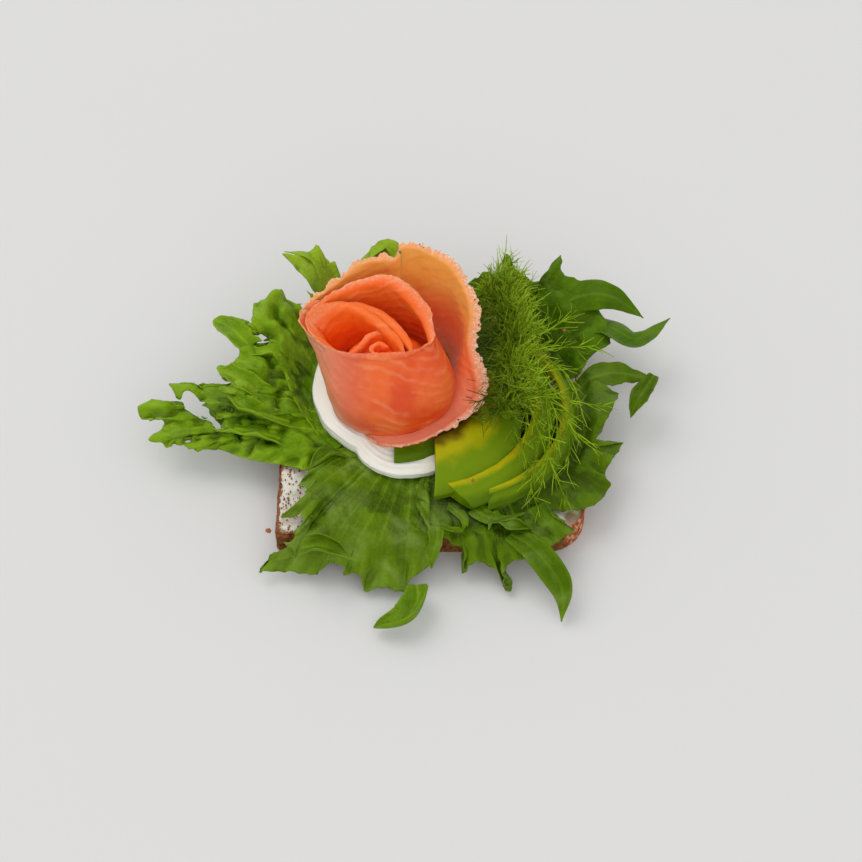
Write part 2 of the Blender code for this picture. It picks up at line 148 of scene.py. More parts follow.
def lumps(points, size, seed=0.0):
    """Smooth noise, about -1 to 1, at every point, with lumps of this size in millimetres."""
    flat = points.reshape(-1, 3) / size + seed * 7.31
    return np.array([noise.noise(Vector(p)) for p in flat]).reshape(points.shape[:-1])


def curve_through(knots, share):
    """Points at each share, 0 to 1, of a smooth curve through the knots (Catmull-Rom)."""
    knots = np.asarray(knots, float)
    spans = len(knots) - 1
    k = np.minimum((share * spans).astype(int), spans - 1)
    f = (share * spans - k)[..., None]
    p0, p1 = knots[np.maximum(k - 1, 0)], knots[k]
    p2, p3 = knots[k + 1], knots[np.minimum(k + 2, spans)]
    return p1 + 0.5 * f * (p2 - p0 + f * (2 * p0 - 5 * p1 + 4 * p2 - p3 + f * (3 * (p1 - p2) + p3 - p0)))


def grid_normals(points):
    """The direction that the sheet faces at each point."""
    return unit(np.cross(np.gradient(points, axis=0), np.gradient(points, axis=1)))


def arc_length(points):
    """Distance run along each row of points, from its start."""
    steps = np.linalg.norm(np.diff(points, axis=0), axis=-1)
    return np.concatenate([np.zeros((1,) + steps.shape[1:]), np.cumsum(steps, axis=0)])


def in_gap(points, gaps):
    """Which points lie, in plan, in one of the gaps: ellipses of centre, half sizes and turn in degrees."""
    inside = np.zeros(points.shape[:-1], bool)
    for x, y, half_long, half_wide, degrees in gaps:
        turn = math.radians(degrees)
        dx, dy = points[..., 0] - x, points[..., 1] - y
        along, aside = dx * math.cos(turn) + dy * math.sin(turn), dy * math.cos(turn) - dx * math.sin(turn)
        inside |= (along / half_long) ** 2 + (aside / half_wide) ** 2 < 1
    return inside


def sheet_cells(points, gaps):
    """The corners of a sheet's cells outside the gaps, and the start and stop of each open edge."""
    count = points[..., 0].size
    number = np.arange(count).reshape(points.shape[:-1])
    cells = np.stack([number[:-1, :-1], number[1:, :-1], number[1:, 1:], number[:-1, 1:]], axis=-1)
    cells = cells[~in_gap((points[:-1, :-1] + points[1:, 1:]) / 2, gaps)]
    start, stop = cells.ravel(), np.roll(cells, -1, axis=1).ravel()
    is_open = ~np.isin(start * count + stop, stop * count + start)
    return cells, start[is_open], stop[is_open]


def even_gaps(points, start, stop):
    """The sheet's points, with the stepped edges of its gaps drawn into smooth curves.

    Each edge point moves to the middle of itself and its neighbours along the edge, a few times over.
    """
    flat = points.reshape(-1, 3).copy()
    inner = np.arange(len(flat)).reshape(points.shape[:-1])[1:-1, 1:-1]
    edge = np.intersect1d(start, inner)
    weight = 2 + np.bincount(np.concatenate([start, stop]), minlength=len(flat))[:, None]
    for _ in range(GAP_ROUNDS):
        total = 2 * flat
        np.add.at(total, start, flat[stop])
        np.add.at(total, stop, flat[start])
        flat[edge] = (total / weight)[edge]
    return flat.reshape(points.shape)


def new_object(name, mesh, material):
    """An object in the scene for this mesh, at the origin."""
    mesh.materials.append(material)
    piece = bpy.data.objects.new(name, mesh)
    bpy.context.scene.collection.objects.link(piece)
    return piece


def closed_sheets(name, sheets, material, gaps=()):
    """One object from several sheets: each gets its thickness, and its values become attributes."""
    points, faces, values, surface, first = [], [], [], [], 0
    for sheet in sheets:
        cells, start, stop = sheet_cells(sheet.points, gaps)
        middle = even_gaps(sheet.points, start, stop)
        offset = grid_normals(sheet.points) * sheet.thick[..., None] / 2
        for outside in (1.0, 0.0):
            points.append((middle + offset * (2 * outside - 1)).reshape(-1, 3))
            sides = np.full(sheet.vein.size, outside)
            values.append(np.stack([sheet.vein.ravel(), sheet.edge.ravel(), sides], axis=-1))
            surface.append(sheet.surface.reshape(-1, 2))
        count = sheet.vein.size
        wall = np.stack([start, start + count, stop + count, stop], axis=-1)
        faces.append(first + np.concatenate([cells, (cells + count)[:, ::-1], wall]))
        first += 2 * count
    used, faces = np.unique(np.concatenate(faces), return_inverse=True)
    points, values, surface = (np.concatenate(rows)[used] for rows in (points, values, surface))
    mesh = bpy.data.meshes.new(name)
    mesh.from_pydata((points * MM).tolist(), [], faces.reshape(-1, 4).tolist())
    mesh.shade_smooth()
    for column, label in enumerate(("vein", "edge", "outside")):
        mesh.attributes.new(label, "FLOAT", "POINT").data.foreach_set("value", values[:, column].copy())
    corner = np.empty(len(mesh.loops), int)
    mesh.loops.foreach_get("vertex_index", corner)
    flat = (surface[corner] * MM).ravel()
    mesh.uv_layers.new(name="surface").data.foreach_set("uv", flat)
    return new_object(name, mesh, material)


def dress(piece, slot, *nodes):
    """The piece rides on the sandwich and stands for these solids. slot is not used."""
    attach(piece, "root")
    if nodes:
        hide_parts(*nodes)
    print(f"{piece.name}: {len(piece.data.vertices)} points, {len(piece.data.polygons)} faces")


print("a sheet has", ", ".join(Sheet._fields))

# %% [markdown]
# ## Camera, light and table
#
# The sandwich is seen from above its front, as a guest at a table sees it. A large soft light, the window,
# stands behind and to the left, so the shadows fall softly towards the front right. A weaker one in front,
# as from a white reflector, and a pale room fill them. The table is plain.

# %% Camera
# the lens and its sensor in millimetres, and how far the camera stands from what it looks at
LENS_LENGTH = 85
SENSOR_WIDTH = 36
CAMERA_RISE = math.radians(52)
CAMERA_DISTANCE = 678.5
CAMERA_TARGET = (0.0, -6.9, 9.0)

lens = bpy.data.cameras.new("camera")
lens.lens = LENS_LENGTH
lens.sensor_width = SENSOR_WIDTH
camera = bpy.data.objects.new("camera", lens)
bpy.context.scene.collection.objects.link(camera)
step_back = Vector((0, -math.cos(CAMERA_RISE), math.sin(CAMERA_RISE))) * CAMERA_DISTANCE
camera.location = (Vector(CAMERA_TARGET) + step_back) * MM
camera.rotation_euler = (math.pi / 2 - CAMERA_RISE, 0, 0)
bpy.context.scene.camera = camera
bpy.context.scene.view_settings.view_transform = "Standard"
print("camera at", [round(c, 3) for c in camera.location], "m")

# %% Light
# each soft light: its place and size in metres, and its power in watts
LIGHTS = {"window": ((-1.6, 1.5, 3.2), 2.6, 38), "reflector": ((0.6, -2.4, 2.0), 2.4, 14)}
LIGHT_TONE = "#fffdfa"
ROOM_TONE = "#fdfdff"
ROOM_STRENGTH = 0.78

for name, (place, size, watts) in LIGHTS.items():
    softbox = bpy.data.lights.new(name, "AREA")
    softbox.size = size
    softbox.energy = watts
    softbox.color = linear(LIGHT_TONE)[:3]
    lamp = bpy.data.objects.new(name, softbox)
    lamp.location = place
    lamp.rotation_euler = Vector(place).to_track_quat("Z", "Y").to_euler()
    bpy.context.scene.collection.objects.link(lamp)

room = bpy.data.worlds.new("room")
room.use_nodes = True
walls = room.node_tree.nodes["Background"].inputs
walls["Color"].default_value = linear(ROOM_TONE)
walls["Strength"].default_value = ROOM_STRENGTH
bpy.context.scene.world = room
print("lights:", *(f"{name} {watts} W" for name, (place, size, watts) in LIGHTS.items()))

# %% Table
# the side of the table in metres, far wider than the camera sees
TABLE_SIZE = 6.0


def laminate(add, place):
    """Pale matt laminate: nothing shows but a faint unevenness in its tone."""
    tone = add("ShaderNodeTexNoise", {0: place, "Scale": per_mm(120)})
    colour = add("ShaderNodeMix", {0: tone, 6: "#dadad8", 7: "#dcdcda"}, 2, data_type="RGBA")
    return {"Base Color": colour, "Roughness": 0.75, "Specular IOR Level": 0.25}


bpy.ops.mesh.primitive_plane_add(size=TABLE_SIZE)
table = bpy.context.object
table.name = "table"
table.data.materials.append(make_material("pale_laminate", laminate))
print("table is", round(table.dimensions.x, 1), "m wide")

# %% [markdown]
# ## Bread and spread
#
# Dense rye bread is cut about a centimetre thick. Its crumb is a moist brown sponge with small pores and
# broken grains, and the crust at the loaf's top is redder and dusted with flour. Both pieces are slabs made
# of rings that run round the outline, from the middle of the underside to the middle of the top. This gives
# the sides as many points as the top, so that the pores can be real hollows.

# %% A slab made of rings
# half the slice's width, and the radii of its corners: round at the loaf's crust, square where it was cut
BREAD_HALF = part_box("rye_bread")[1].x / MM
CRUST_CORNER = 13.0
CUT_CORNER = 2.5
CORNER_POINTS = 24
SPREAD_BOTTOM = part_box("spread")[0].z / MM
SPREAD_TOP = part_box("spread")[1].z / MM


def bread_outline(inset, spacing):
    """Points round the slice, this far apart: square corners on the left and round ones on the right."""
    corners = [(-1, -1, CUT_CORNER), (1, -1, CRUST_CORNER), (1, 1, CRUST_CORNER), (-1, 1, CUT_CORNER)]
    path = []
    for quarter, (side_x, side_y, radius) in enumerate(corners):
        angles = math.pi / 2 * (2 + quarter + np.linspace(0, 1, CORNER_POINTS))
        middle = np.array([side_x, side_y]) * (BREAD_HALF - radius)
        path.append(middle + (radius - inset) * np.stack([np.cos(angles), np.sin(angles)], axis=-1))
    path = np.concatenate(path + [path[0][:1]])
    run = arc_length(path)
    even = np.linspace(0, run[-1], int(run[-1] / spacing), endpoint=False)
    return np.stack([np.interp(even, run, path[:, 0]), np.interp(even, run, path[:, 1])], axis=-1)


def ring_body(name, rings, material, label, values):
    """A closed body from rings of points, ordered from its underside to its top, with one value per point."""
    count, around = rings.shape[:2]
    index = np.arange(count * around).reshape(count, around)
    ahead = np.roll(index, -1, axis=1)
    faces = np.stack([index[:-1], ahead[:-1], ahead[1:], index[1:]], axis=-1).reshape(-1, 4).tolist()
    poles = [rings[0].mean(axis=0), rings[-1].mean(axis=0)]
    faces += np.stack([ahead[0], index[0], 0 * index[0] + count * around], axis=-1).tolist()
    faces += np.stack([index[-1], ahead[-1], 0 * index[0] + count * around + 1], axis=-1).tolist()
    points = np.concatenate([rings.reshape(-1, 3), poles])
    mesh = bpy.data.meshes.new(name)
    mesh.from_pydata((points * MM).tolist(), [], faces)
    mesh.shade_smooth()
    flat = np.concatenate([values.ravel(), [values[0].mean(), values[-1].mean()]])
    mesh.attributes.new(label, "FLOAT", "POINT").data.foreach_set("value", flat)
    return new_object(name, mesh, material)


def slab_rings(bottom, top, inset, spacing, rounding, levels):
    """Rings of a flat slab with rounded edges, drawn in from the bread's outline, points this far apart."""
    angles = np.linspace(0, math.pi / 2, 5)
    lower = [(rounding * (1 - math.sin(a)), bottom + rounding * (1 - math.cos(a))) for a in angles]
    sides = [(0.0, z) for z in np.linspace(bottom + rounding, top - rounding, levels)[1:-1]]
    upper = [(rounding * (1 - math.cos(a)), top - rounding * (1 - math.sin(a))) for a in angles]
    outline = bread_outline(inset, spacing)
    away = unit(np.stack([np.gradient(outline[:, 1]), -np.gradient(outline[:, 0])], axis=-1))
    stations = lower + sides + upper
    rings = [np.column_stack([outline - away * pull, np.full(len(outline), z)]) for pull, z in stations]
    shares = np.linspace(0.99, 0.02, int(BREAD_HALF / spacing / 1.2))
    # the underside is plain, so every sixth ring is enough there
    below = [rings[0] * (share, share, 1) for share in shares[::-6]]
    above = [rings[-1] * (share, share, 1) for share in shares]
    return np.array(below + rings + above)


def ring_normals(rings):
    """The direction that the body faces at each point of its rings."""
    along = np.roll(rings, -1, axis=1) - np.roll(rings, 1, axis=1)
    return unit(np.cross(along, np.gradient(rings, axis=0)))


print("the bread is", round(2 * BREAD_HALF), "mm wide")

# %% Bread and spread materials
def rye_crumb(add, place):
    """Rye crumb: dark in its pores, with paler broken grains; the crust is red brown with floury flecks."""
    crumb = add("ShaderNodeTexNoise", {0: place, "Scale": per_mm(1.6), "Detail": 4.0, "Roughness": 0.65})
    grains = add("ShaderNodeTexVoronoi", {0: place, "Scale": per_mm(2.2)}, "Distance")
    near_crust = add("ShaderNodeAttribute", output="Fac", attribute_name="crust")
    sponge = [(crumb, 0.35, 0.68, 1.0, "#96602e", "LINEAR"), (grains, 0.22, 0.10, 0.6, "#b98a54", "LINEAR")]
    flour = [(crumb, 0.50, 0.64, 1.0, "#d8b48e", "LINEAR")]
    tones = {0: near_crust, 6: lay_tones(add, "#54290f", sponge), 7: lay_tones(add, "#9c4a1e", flour)}
    return {
        "Base Color": add("ShaderNodeMix", tones, 2, data_type="RGBA"),
        "Normal": add("ShaderNodeBump", {"Height": crumb, "Distance": 0.25 * MM}),
        "Roughness": 0.85,
        "Specular IOR Level": 0.2,
    }


def thin_cream_cheese(add, place):
    """Cream cheese drawn thin with a knife: matt white, greyer and browner where the bread shows through."""
    tone = add("ShaderNodeTexNoise", {0: place, "Scale": per_mm(7)})
    height = add("ShaderNodeAttribute", output="Fac", attribute_name="height")
    specks = add("ShaderNodeTexNoise", {0: place, "Scale": per_mm(0.9), "Detail": 3.0, "Roughness": 0.7})
    fine = add("ShaderNodeTexNoise", {0: place, "Scale": per_mm(1.2), "Detail": 3.0})
    layers = [
        (tone, 0.0, 1.0, 1.0, "#ece7da", "LINEAR"),
        (height, 0.5, 0.0, 0.85, "#a98a68", "LINEAR"),
        (specks, 0.60, 0.68, 0.5, "#8d8578", "LINEAR"),
    ]
    return {
        "Base Color": lay_tones(add, "#dcdacc", layers),
        "Normal": add("ShaderNodeBump", {"Height": fine, "Distance": 0.25 * MM}),
        "Roughness": 0.5,
        "Specular IOR Level": 0.35,
        "Subsurface Weight": 0.3,
        "Subsurface Scale": 1.0 * MM,
    }


rye = make_material("rye_crumb", rye_crumb)
cheese = make_material("thin_cream_cheese", thin_cream_cheese)
print("bread and spread have", len(rye.node_tree.nodes), "and", len(cheese.node_tree.nodes), "nodes")

# %% Make the bread and the spread
# pores are hollows about 2.4 and 1.2 mm across; broad unevenness and fine crumb are added to them
PORE_DEPTH = 0.55
CRUST_DEPTH = 1.5
bread_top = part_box("rye_bread")[1].z / MM
bread = slab_rings(0.0, bread_top, inset=0.0, spacing=0.7, rounding=0.9, levels=12)
pores = smoothstep(lumps(bread, 2.4, 1), 0.18, 0.5) + 0.5 * smoothstep(lumps(bread, 1.2, 2), 0.2, 0.5)
relief = 0.25 * lumps(bread, 9, 3) + 0.12 * lumps(bread, 0.9, 4) - PORE_DEPTH * pores
relief *= smoothstep(bread[..., 2], 0.0, 1.0)
crust_reach = bread[..., 0] + 0.35 * (abs(bread[..., 1]) - BREAD_HALF + CRUST_CORNER).clip(0)
crust = smoothstep(crust_reach, BREAD_HALF - CRUST_DEPTH - 2, BREAD_HALF - CRUST_DEPTH)
porous = bread + ring_normals(bread) * relief[..., None]
dress(ring_body("rye_slice", porous, rye, "crust", crust), "rye", "rye_bread")

# how far the knife left each front corner bare, in millimetres: left, right
BARE_CORNERS = {-1: 4.0, 1: 12.0}
BARE_FADE = 3.0
coat = slab_rings(SPREAD_BOTTOM - 0.2, SPREAD_TOP - 0.1, inset=0.9, spacing=0.6, rounding=0.3, levels=5)
height = 0.55 + 0.55 * lumps(coat, 6.5, 5) + 0.30 * lumps(coat, 2.2, 6)
for side, reach in BARE_CORNERS.items():
    from_corner = np.hypot(coat[..., 0] - side * BREAD_HALF, coat[..., 1] + BREAD_HALF)
    from_corner = from_corner + 3 * lumps(coat, 4, 9 + side)
    height -= 1.6 * smoothstep(reach - from_corner, 0, BARE_FADE)
wander = 1 - 0.010 * (0.2 + lumps(coat, 5, 7) + 0.6 * lumps(coat, 1.8, 8))
on_top = smoothstep(coat[..., 2], SPREAD_BOTTOM, SPREAD_TOP - 0.2)
coat[..., 2] += on_top * (height - 0.7)
coat[..., :2] *= wander[..., None]
dress(ring_body("cream_cheese_coat", coat, cheese, "height", height), "spread", "spread")

# %% [markdown]
# ## Lettuce
#
# A frilled lettuce leaf is a fan that spreads from a short stem. Its edge runs from one pointed tooth to the
# next in hollow arcs, and it grows faster than the middle, so it has more length than room and folds into
# ruffles. Each leaf is a grid between its stem and its edge. The table gives points along the edge, and
# those marked with a 1 are teeth, where the edge has a corner.

# %% The edges of the leaves
# hump: how far the leaf arches between stem and edge. fold_size and fold_depth: the folds of the blade.
# ruffle: the height of the ruffles along the edge.
Leaf = namedtuple("Leaf", "stem_a stem_b stem_z hump fold_size fold_depth ruffle edge")

LEAVES = {
    "lettuce_left": Leaf(
        (-28, -15), (-25, 6), 12.0, 3.5, 8.5, 3.2, 1.0,
        [
            (-39, -26, 12), (-50, -23, 11.5), (-61, -19.5, 10.5), (-72, -15, 10.5), (-80, -15.5, 11),
            (-85, -13, 13), (-87, -15, 10, 1), (-93, -12.5, 12, 1), (-89, -10, 14), (-89, -7, 15),
            (-95.5, -6.5, 15), (-97, -3.5, 16), (-93, -1, 18), (-88, -3, 17), (-79, -2.5, 18, 1),
            (-79, -5.5, 16), (-75, -7.5, 18, 1), (-70, -8, 17), (-74, -4, 19), (-83, -2, 20),
            (-87, 4.5, 21, 1), (-81, 2.5, 21), (-75.5, 3, 22, 1), (-72, 1, 20), (-66, 2, 22),
            (-63, 2.5, 21), (-68, 5, 22), (-71, 9, 22), (-64, 14, 23), (-67, 22, 23), (-73.5, 28.5, 23),
            (-70, 30, 24), (-63, 26, 25), (-60.5, 25, 25), (-60, 34, 27, 1), (-55, 36, 28),
            (-51, 38.5, 28, 1), (-48, 36, 27), (-44, 33.5, 26, 1), (-44, 27, 22),
        ],
    ),
    "lettuce_front": Leaf(
        (-27, -17), (1.4, -23.5), 12.0, 1.6, 15.0, 1.1, 0.9,
        [
            (-31, -21, 14), (-38, -27, 15), (-43, -32.5, 14, 1), (-39.5, -35, 14), (-41.5, -38, 14),
            (-48, -45.5, 13, 1), (-42, -44.5, 14), (-41, -49, 14), (-46.5, -55, 11, 1), (-43.5, -55.8, 9),
            (-46, -57, 6), (-52, -57.8, 5), (-55, -60, 3.5, 1), (-45, -60, 4), (-36, -61.5, 4, 1),
            (-33, -58.5, 7), (-28, -59.5, 6), (-28, -62, 5, 1), (-23.5, -62, 6), (-21.5, -65.5, 4),
            (-21, -67, 3, 1), (-16, -65.5, 3), (-9, -67, 3, 1), (-5, -62.5, 6), (1, -58.5, 8),
            (3, -53, 11, 1), (-0.5, -51.5, 13), (0.5, -45.5, 14), (-1, -42, 15, 1), (-1.5, -40.5, 16, 1),
            (-4.5, -38, 16), (-3.5, -32, 15),
        ],
    ),
    "lettuce_front_right": Leaf(
        (-1, -24), (25, -28), 12.0, 2.0, 7.5, 2.0, 1.1,
        [
            (-3, -34, 14), (-1, -43, 15, 1), (1, -48, 14), (3.5, -52.5, 13, 1), (7, -54, 9.5),
            (11.5, -56, 8.5), (9.5, -61, 4.5, 1), (15.5, -58.5, 8), (21, -61.5, 5.5), (24.5, -67, 3, 1),
            (23.5, -60.5, 8), (29, -59.5, 10), (35, -61, 10, 1), (38, -56.5, 13), (46, -50, 13, 1),
            (41, -47.5, 14), (38, -43, 14),
        ],
    ),
    "lettuce_right": Leaf(
        (30, -21), (28, 1), 12.0, 2.2, 13.0, 1.4, 0.9,
        [
            (33, -41, 13), (41, -42, 13), (47, -41.5, 12), (54, -38, 11), (58.5, -31, 12, 1),
            (56.5, -27.5, 13), (63, -16.5, 15, 1), (52, -18, 15), (55, -14, 15.5), (60, -3, 16),
            (63, 4.5, 16, 1), (57, 7, 16), (47, 10, 15),
        ],
    ),
    "lettuce_back_right": Leaf(
        (25, 9), (4, 18), 12.0, 3.0, 14.0, 1.6, 0.7,
        [
            (50, 13, 15), (55, 21, 16), (61, 25, 17), (60, 32, 19, 1), (58, 35, 21), (54, 43, 24),
            (45.5, 46, 28, 1), (44.5, 52, 31.5, 1), (41, 46.5, 26), (32, 47, 26), (26, 54, 30, 1),
            (23, 49, 28), (18.5, 50, 26, 1), (12, 47, 22), (8, 44, 20),
        ],
    ),
    "lettuce_back_left": Leaf(
        (-26, 14), (-4, 16), 12.0, 2.0, 12.0, 1.2, 0.5,
        [
            (-38, 26, 19), (-42.5, 40.5, 26, 1), (-39, 39, 26), (-42, 45.5, 29), (-50.5, 51.5, 33, 1),
            (-44, 50, 33.5), (-39, 53, 35, 1), (-36.5, 47, 34), (-33, 49, 33, 1), (-29, 44, 30),
            (-22, 54, 30), (-18, 58, 32), (-12, 57, 32), (-9.5, 52, 28), (-2, 44, 20),
        ],
    ),
}
print(sum(len(leaf.edge) for leaf in LEAVES.values()), "points along", len(LEAVES), "leaf edges")

# %% [markdown]
# Some lobes stand clear of the fan or curl over it. Each is a blade of its own: a strip along a curve, whose
# sides roll up or down. A blade starts inside the fan, where the two run into each other.

# %% Lobes that stand out, as blades
# path: points along the blade's midrib, in millimetres. wide: half its width. tip: 0 pointed, 1 round.
# left and right: how far each side rolls up, in radians (down if negative).
# frill: height of the ruffles on its edges.
Blade = namedtuple("Blade", "path wide tip left right frill")

BLADES = {
    "lettuce_left": [
        Blade([(-50, 10, 18), (-60, 17, 23.5), (-67, 23, 26), (-73.5, 28.5, 25)], 4.4, 0.95, 0.7, 0.9, 0.3),
        Blade([(-48, -2, 16), (-58, 1, 21), (-64, 4, 23), (-70.5, 8, 23)], 4.4, 0.9, 1.0, 1.4, 0.9),
        Blade([(-46, -8, 15), (-57, -8, 20), (-62, -6, 21), (-67, -1, 21)], 4.2, 0.9, 1.8, 1.3, 1.0),
        Blade([(-44, 8, 17), (-51, 14, 23), (-56, 15, 24), (-61, 14, 23)], 3.6, 0.8, 1.7, 1.2, 0.8),
        Blade([(-36, -12, 14), (-41, -4, 17), (-45, 2, 19), (-49, 9, 21)], 2.2, 0.1, 0.8, 1.0, 0.3),
        Blade([(-44, -16, 13), (-54, -14, 16), (-63, -12, 16), (-72, -11, 15)], 4.6, 0.9, 1.7, -0.7, 1.0),
    ],
    "lettuce_front": [
        Blade([(-41, -57, 13.0), (-36, -57.5, 15), (-31, -59, 15), (-23.5, -62, 13)],
              4.8, 0.1, 2.1, 1.5, 0.4),
        Blade([(-20, -18, 12.5), (-27, -19.5, 15.5), (-33, -22, 16.5), (-39, -27, 15.5)],
              4.2, 1.0, 2.2, 1.6, 0.1),
        Blade([(-3.5, -40, 14.5), (-0.5, -46, 15.5), (2, -52, 13.5), (0, -61, 7.5)],
              2.8, 0.9, 1.5, 0.7, 0.9),
    ],
    "lettuce_front_right": [
        Blade([(25, -52, 13), (33, -59, 14), (41, -69, 8.5), (41, -78, 2.4)], 4.4, 0.1, 0.9, -0.5, 0.1),
        Blade([(13, -42, 13), (18, -45, 16), (23, -46.5, 17), (30, -45, 16)], 3.6, 0.8, 2.0, 1.2, 0.6),
        Blade([(3, -46, 13), (4.5, -49, 15), (6.5, -51, 15), (10, -51, 13.5)], 2.8, 0.8, 2.0, 1.3, 0.5),
        Blade([(14, -38, 14), (17, -42, 16.5), (19, -46, 16.5), (18.5, -50.5, 14)],
              1.9, 0.1, 1.2, 1.2, 0.5),
        Blade([(20, -43, 13.5), (22, -47.5, 16), (26, -50.5, 16), (32, -50.5, 14)],
              2.6, 0.5, 1.9, 1.0, 0.8),
        Blade([(5, -40, 13.5), (8, -43, 15.5), (10.5, -46.5, 15.5), (10, -51, 13)],
              2.0, 0.2, 1.0, 1.5, 0.6),
    ],
    "lettuce_right": [
        Blade([(38, 1, 13.5), (54, 9.5, 17), (64, 11.0, 17.5), (75, 10.0, 15)], 4.2, 0.2, 0.5, -0.9, 0.4),
        Blade([(75, 11.5, 16), (71.5, 6, 15), (69, 2, 14), (66.5, -3.5, 12)], 3.4, 0.3, 0.8, 0.9, 0.4),
    ],
    "lettuce_back_right": [
        Blade([(32, 31, 18), (48, 38, 24.5), (61, 40, 24), (73, 36.5, 16.5)], 5.6, 0.2, 0.5, -1.0, 0.1),
        Blade([(36, 26, 15), (57, 32, 18), (70, 27, 16.5), (82, 36, 17)], 5.2, 0.25, -0.7, 0.6, 0.2),
    ],
    "lettuce_back_left": [
        Blade([(-29, 30, 21), (-34, 41, 29), (-39, 49, 33), (-50, 52, 33.5)], 3.0, 0.0, 0.5, -0.6, 0.3),
        Blade([(-8, 44, 26), (-12, 54, 31), (-16, 57, 31.5), (-21, 52, 30)], 3.0, 0.7, 0.9, -0.5, 0.2),
    ],
    "lettuce_curl": [
        Blade([(-4.5, -66.5, 6), (-4.5, -73, 6.2), (-8.5, -79, 5.0), (-18, -80.5, 3.2)],
              5.6, 0.9, 2.3, 0.9, 0.2),
    ],
}
# where a leaf is torn or parted: the gap's centre, its half length and half width, and its turn in degrees
GAPS = {
    "lettuce_left": [
        (-77.5, -4.0, 5.5, 2.3, -30), (-71.5, -8.6, 3.6, 1.3, -50), (-80.5, -13.1, 1.8, 0.8, 0),
        (-84.8, -15.4, 2.2, 0.9, 90), (-56.9, 17.9, 2.9, 1.2, 0), (-57.2, 21.6, 2.9, 1.5, 0),
    ],
    "lettuce_front": [(-50.0, -50.8, 6.8, 4.6, 0)],
}
print(sum(len(blades) for blades in BLADES.values()), "blades")

# %% [markdown]
# The fan and the blades share a few rules. Their edges are toothed, their veins run to the teeth, and they
# are about half a millimetre thick, thinner at the edge. What lies on the bread stays on it, and what is
# under the cream and the avocado stays below them.

# %% Leaf rules
# the thickness of a leaf, the height at which it lies on the spread, and the height it keeps under toppings
LEAF_THICK = 0.55
LEAF_BED = 12.1
TOPPING_CEILING = 13.2
# from one ruffle, frill or tooth to the next, and from one point of an edge to the next
RUFFLE_LENGTH = 10.0
FRILL_LENGTH = 8.0
TOOTH_LENGTH = 4.2
EDGE_STEP = 0.75
# the plan of the toppings: two ellipses of cream (middle, half sizes), and the round edge of the avocado
CREAM_MOUNDS = [(-15.5, 5.5, 23.8, 27.5), (-7.5, -18.0, 17.0, 12.2)]
FAN_CENTRE = (7.0, -4.0)
FAN_REACH = 43.0
FAN_LEFT = -0.6
# how steeply a leaf may hang past the bread's edge, and rise beside the toppings
HANG_SLOPE = 1.25
RISE_SLOPE = 1.2


def outside_toppings(x, y):
    """How far a point of the plan lies outside the cream and the avocado; 0 under them."""
    distances = [
        (np.hypot((x - cx) / half_x, (y - cy) / half_y) - 1) * min(half_x, half_y)
        for cx, cy, half_x, half_y in CREAM_MOUNDS
    ]
    fan = np.hypot(x - FAN_CENTRE[0], y - FAN_CENTRE[1]) - FAN_REACH
    distances.append(np.where(x > FAN_LEFT, fan, 99.0))
    return np.maximum(np.min(distances, axis=0), 0.0)


def soft_maximum(a, b, blend):
    """The larger of two heights, with a rounded step from one to the other."""
    return (a + b + np.sqrt((a - b) ** 2 + blend**2)) / 2


def settle(points):
    """Lifts what would sink into the spread or the table and lowers what would cut the toppings."""
    x, y = points[..., 0], points[..., 1]
    beyond = np.hypot(np.maximum(abs(x) - BREAD_HALF - 2, 0), np.maximum(abs(y) - BREAD_HALF - 2, 0))
    drop = HANG_SLOPE * soft_maximum(beyond - 1, 0, 1.2)
    floor = soft_maximum(0.5, LEAF_BED - 0.6 - drop, 1.0)
    ceiling = TOPPING_CEILING + RISE_SLOPE * np.maximum(outside_toppings(x, y) - 2, 0)
    points[..., 2] = -soft_maximum(-points[..., 2], -ceiling, 0.6)
    points[..., 2] = soft_maximum(points[..., 2], floor, 1.2)
    return points


def teeth(run, seed):
    """Small pointed teeth of uneven length along an edge, 0 to 1."""
    spot = np.stack([run, run * 0 + seed, run * 0], axis=-1)
    phase = run / TOOTH_LENGTH + 0.8 * lumps(spot, 9)
    return abs(2 * (phase % 1) - 1) ** 2 * (0.6 + 0.6 * lumps(spot, 6, 2))


print("leaves are", LEAF_THICK, "mm thick and lie at", LEAF_BED, "mm")

# %% The fan of a leaf
# points from the stem to the edge, the one that measures the leaf's length for the material's map, and how
# often the edge is smoothed to find the calm line that the folds start from
FAN_ROWS = 54
MEASURED_ROW = 36
CALM_ROUNDS = 70
VEIN_WIDTH = 0.6
HOLLOW_ARC = 0.2


def leaf_edge(leaf):
    """Evenly spaced points along the edge, and how far along it each tooth is."""
    knots = leaf.edge
    corners = sorted({0, len(knots) - 1} | {i for i, knot in enumerate(knots) if len(knot) == 4})
    heart = np.array([*(np.array(leaf.stem_a) + leaf.stem_b) / 2, leaf.stem_z])
    arcs = []
    for start, stop in zip(corners, corners[1:]):
        arc = [np.array(knot[:3], float) for knot in knots[start : stop + 1]]
        if len(arc) == 2:
            middle, chord = (arc[0] + arc[1]) / 2, np.linalg.norm(arc[1] - arc[0])
            arc.insert(1, middle + HOLLOW_ARC * chord * unit(heart - middle))
        arcs.append(curve_through(arc, np.linspace(0, 1, 20 * len(arc), endpoint=False)))
    tooth_starts = np.cumsum([len(arc) for arc in arcs[:-1]])
    line = np.concatenate(arcs + [np.array([knots[-1][:3]], float)])
    run = arc_length(line)
    even = np.linspace(0, run[-1], int(run[-1] / EDGE_STEP))
    return np.stack([np.interp(even, run, line[:, axis]) for axis in range(3)], axis=-1), run[tooth_starts]


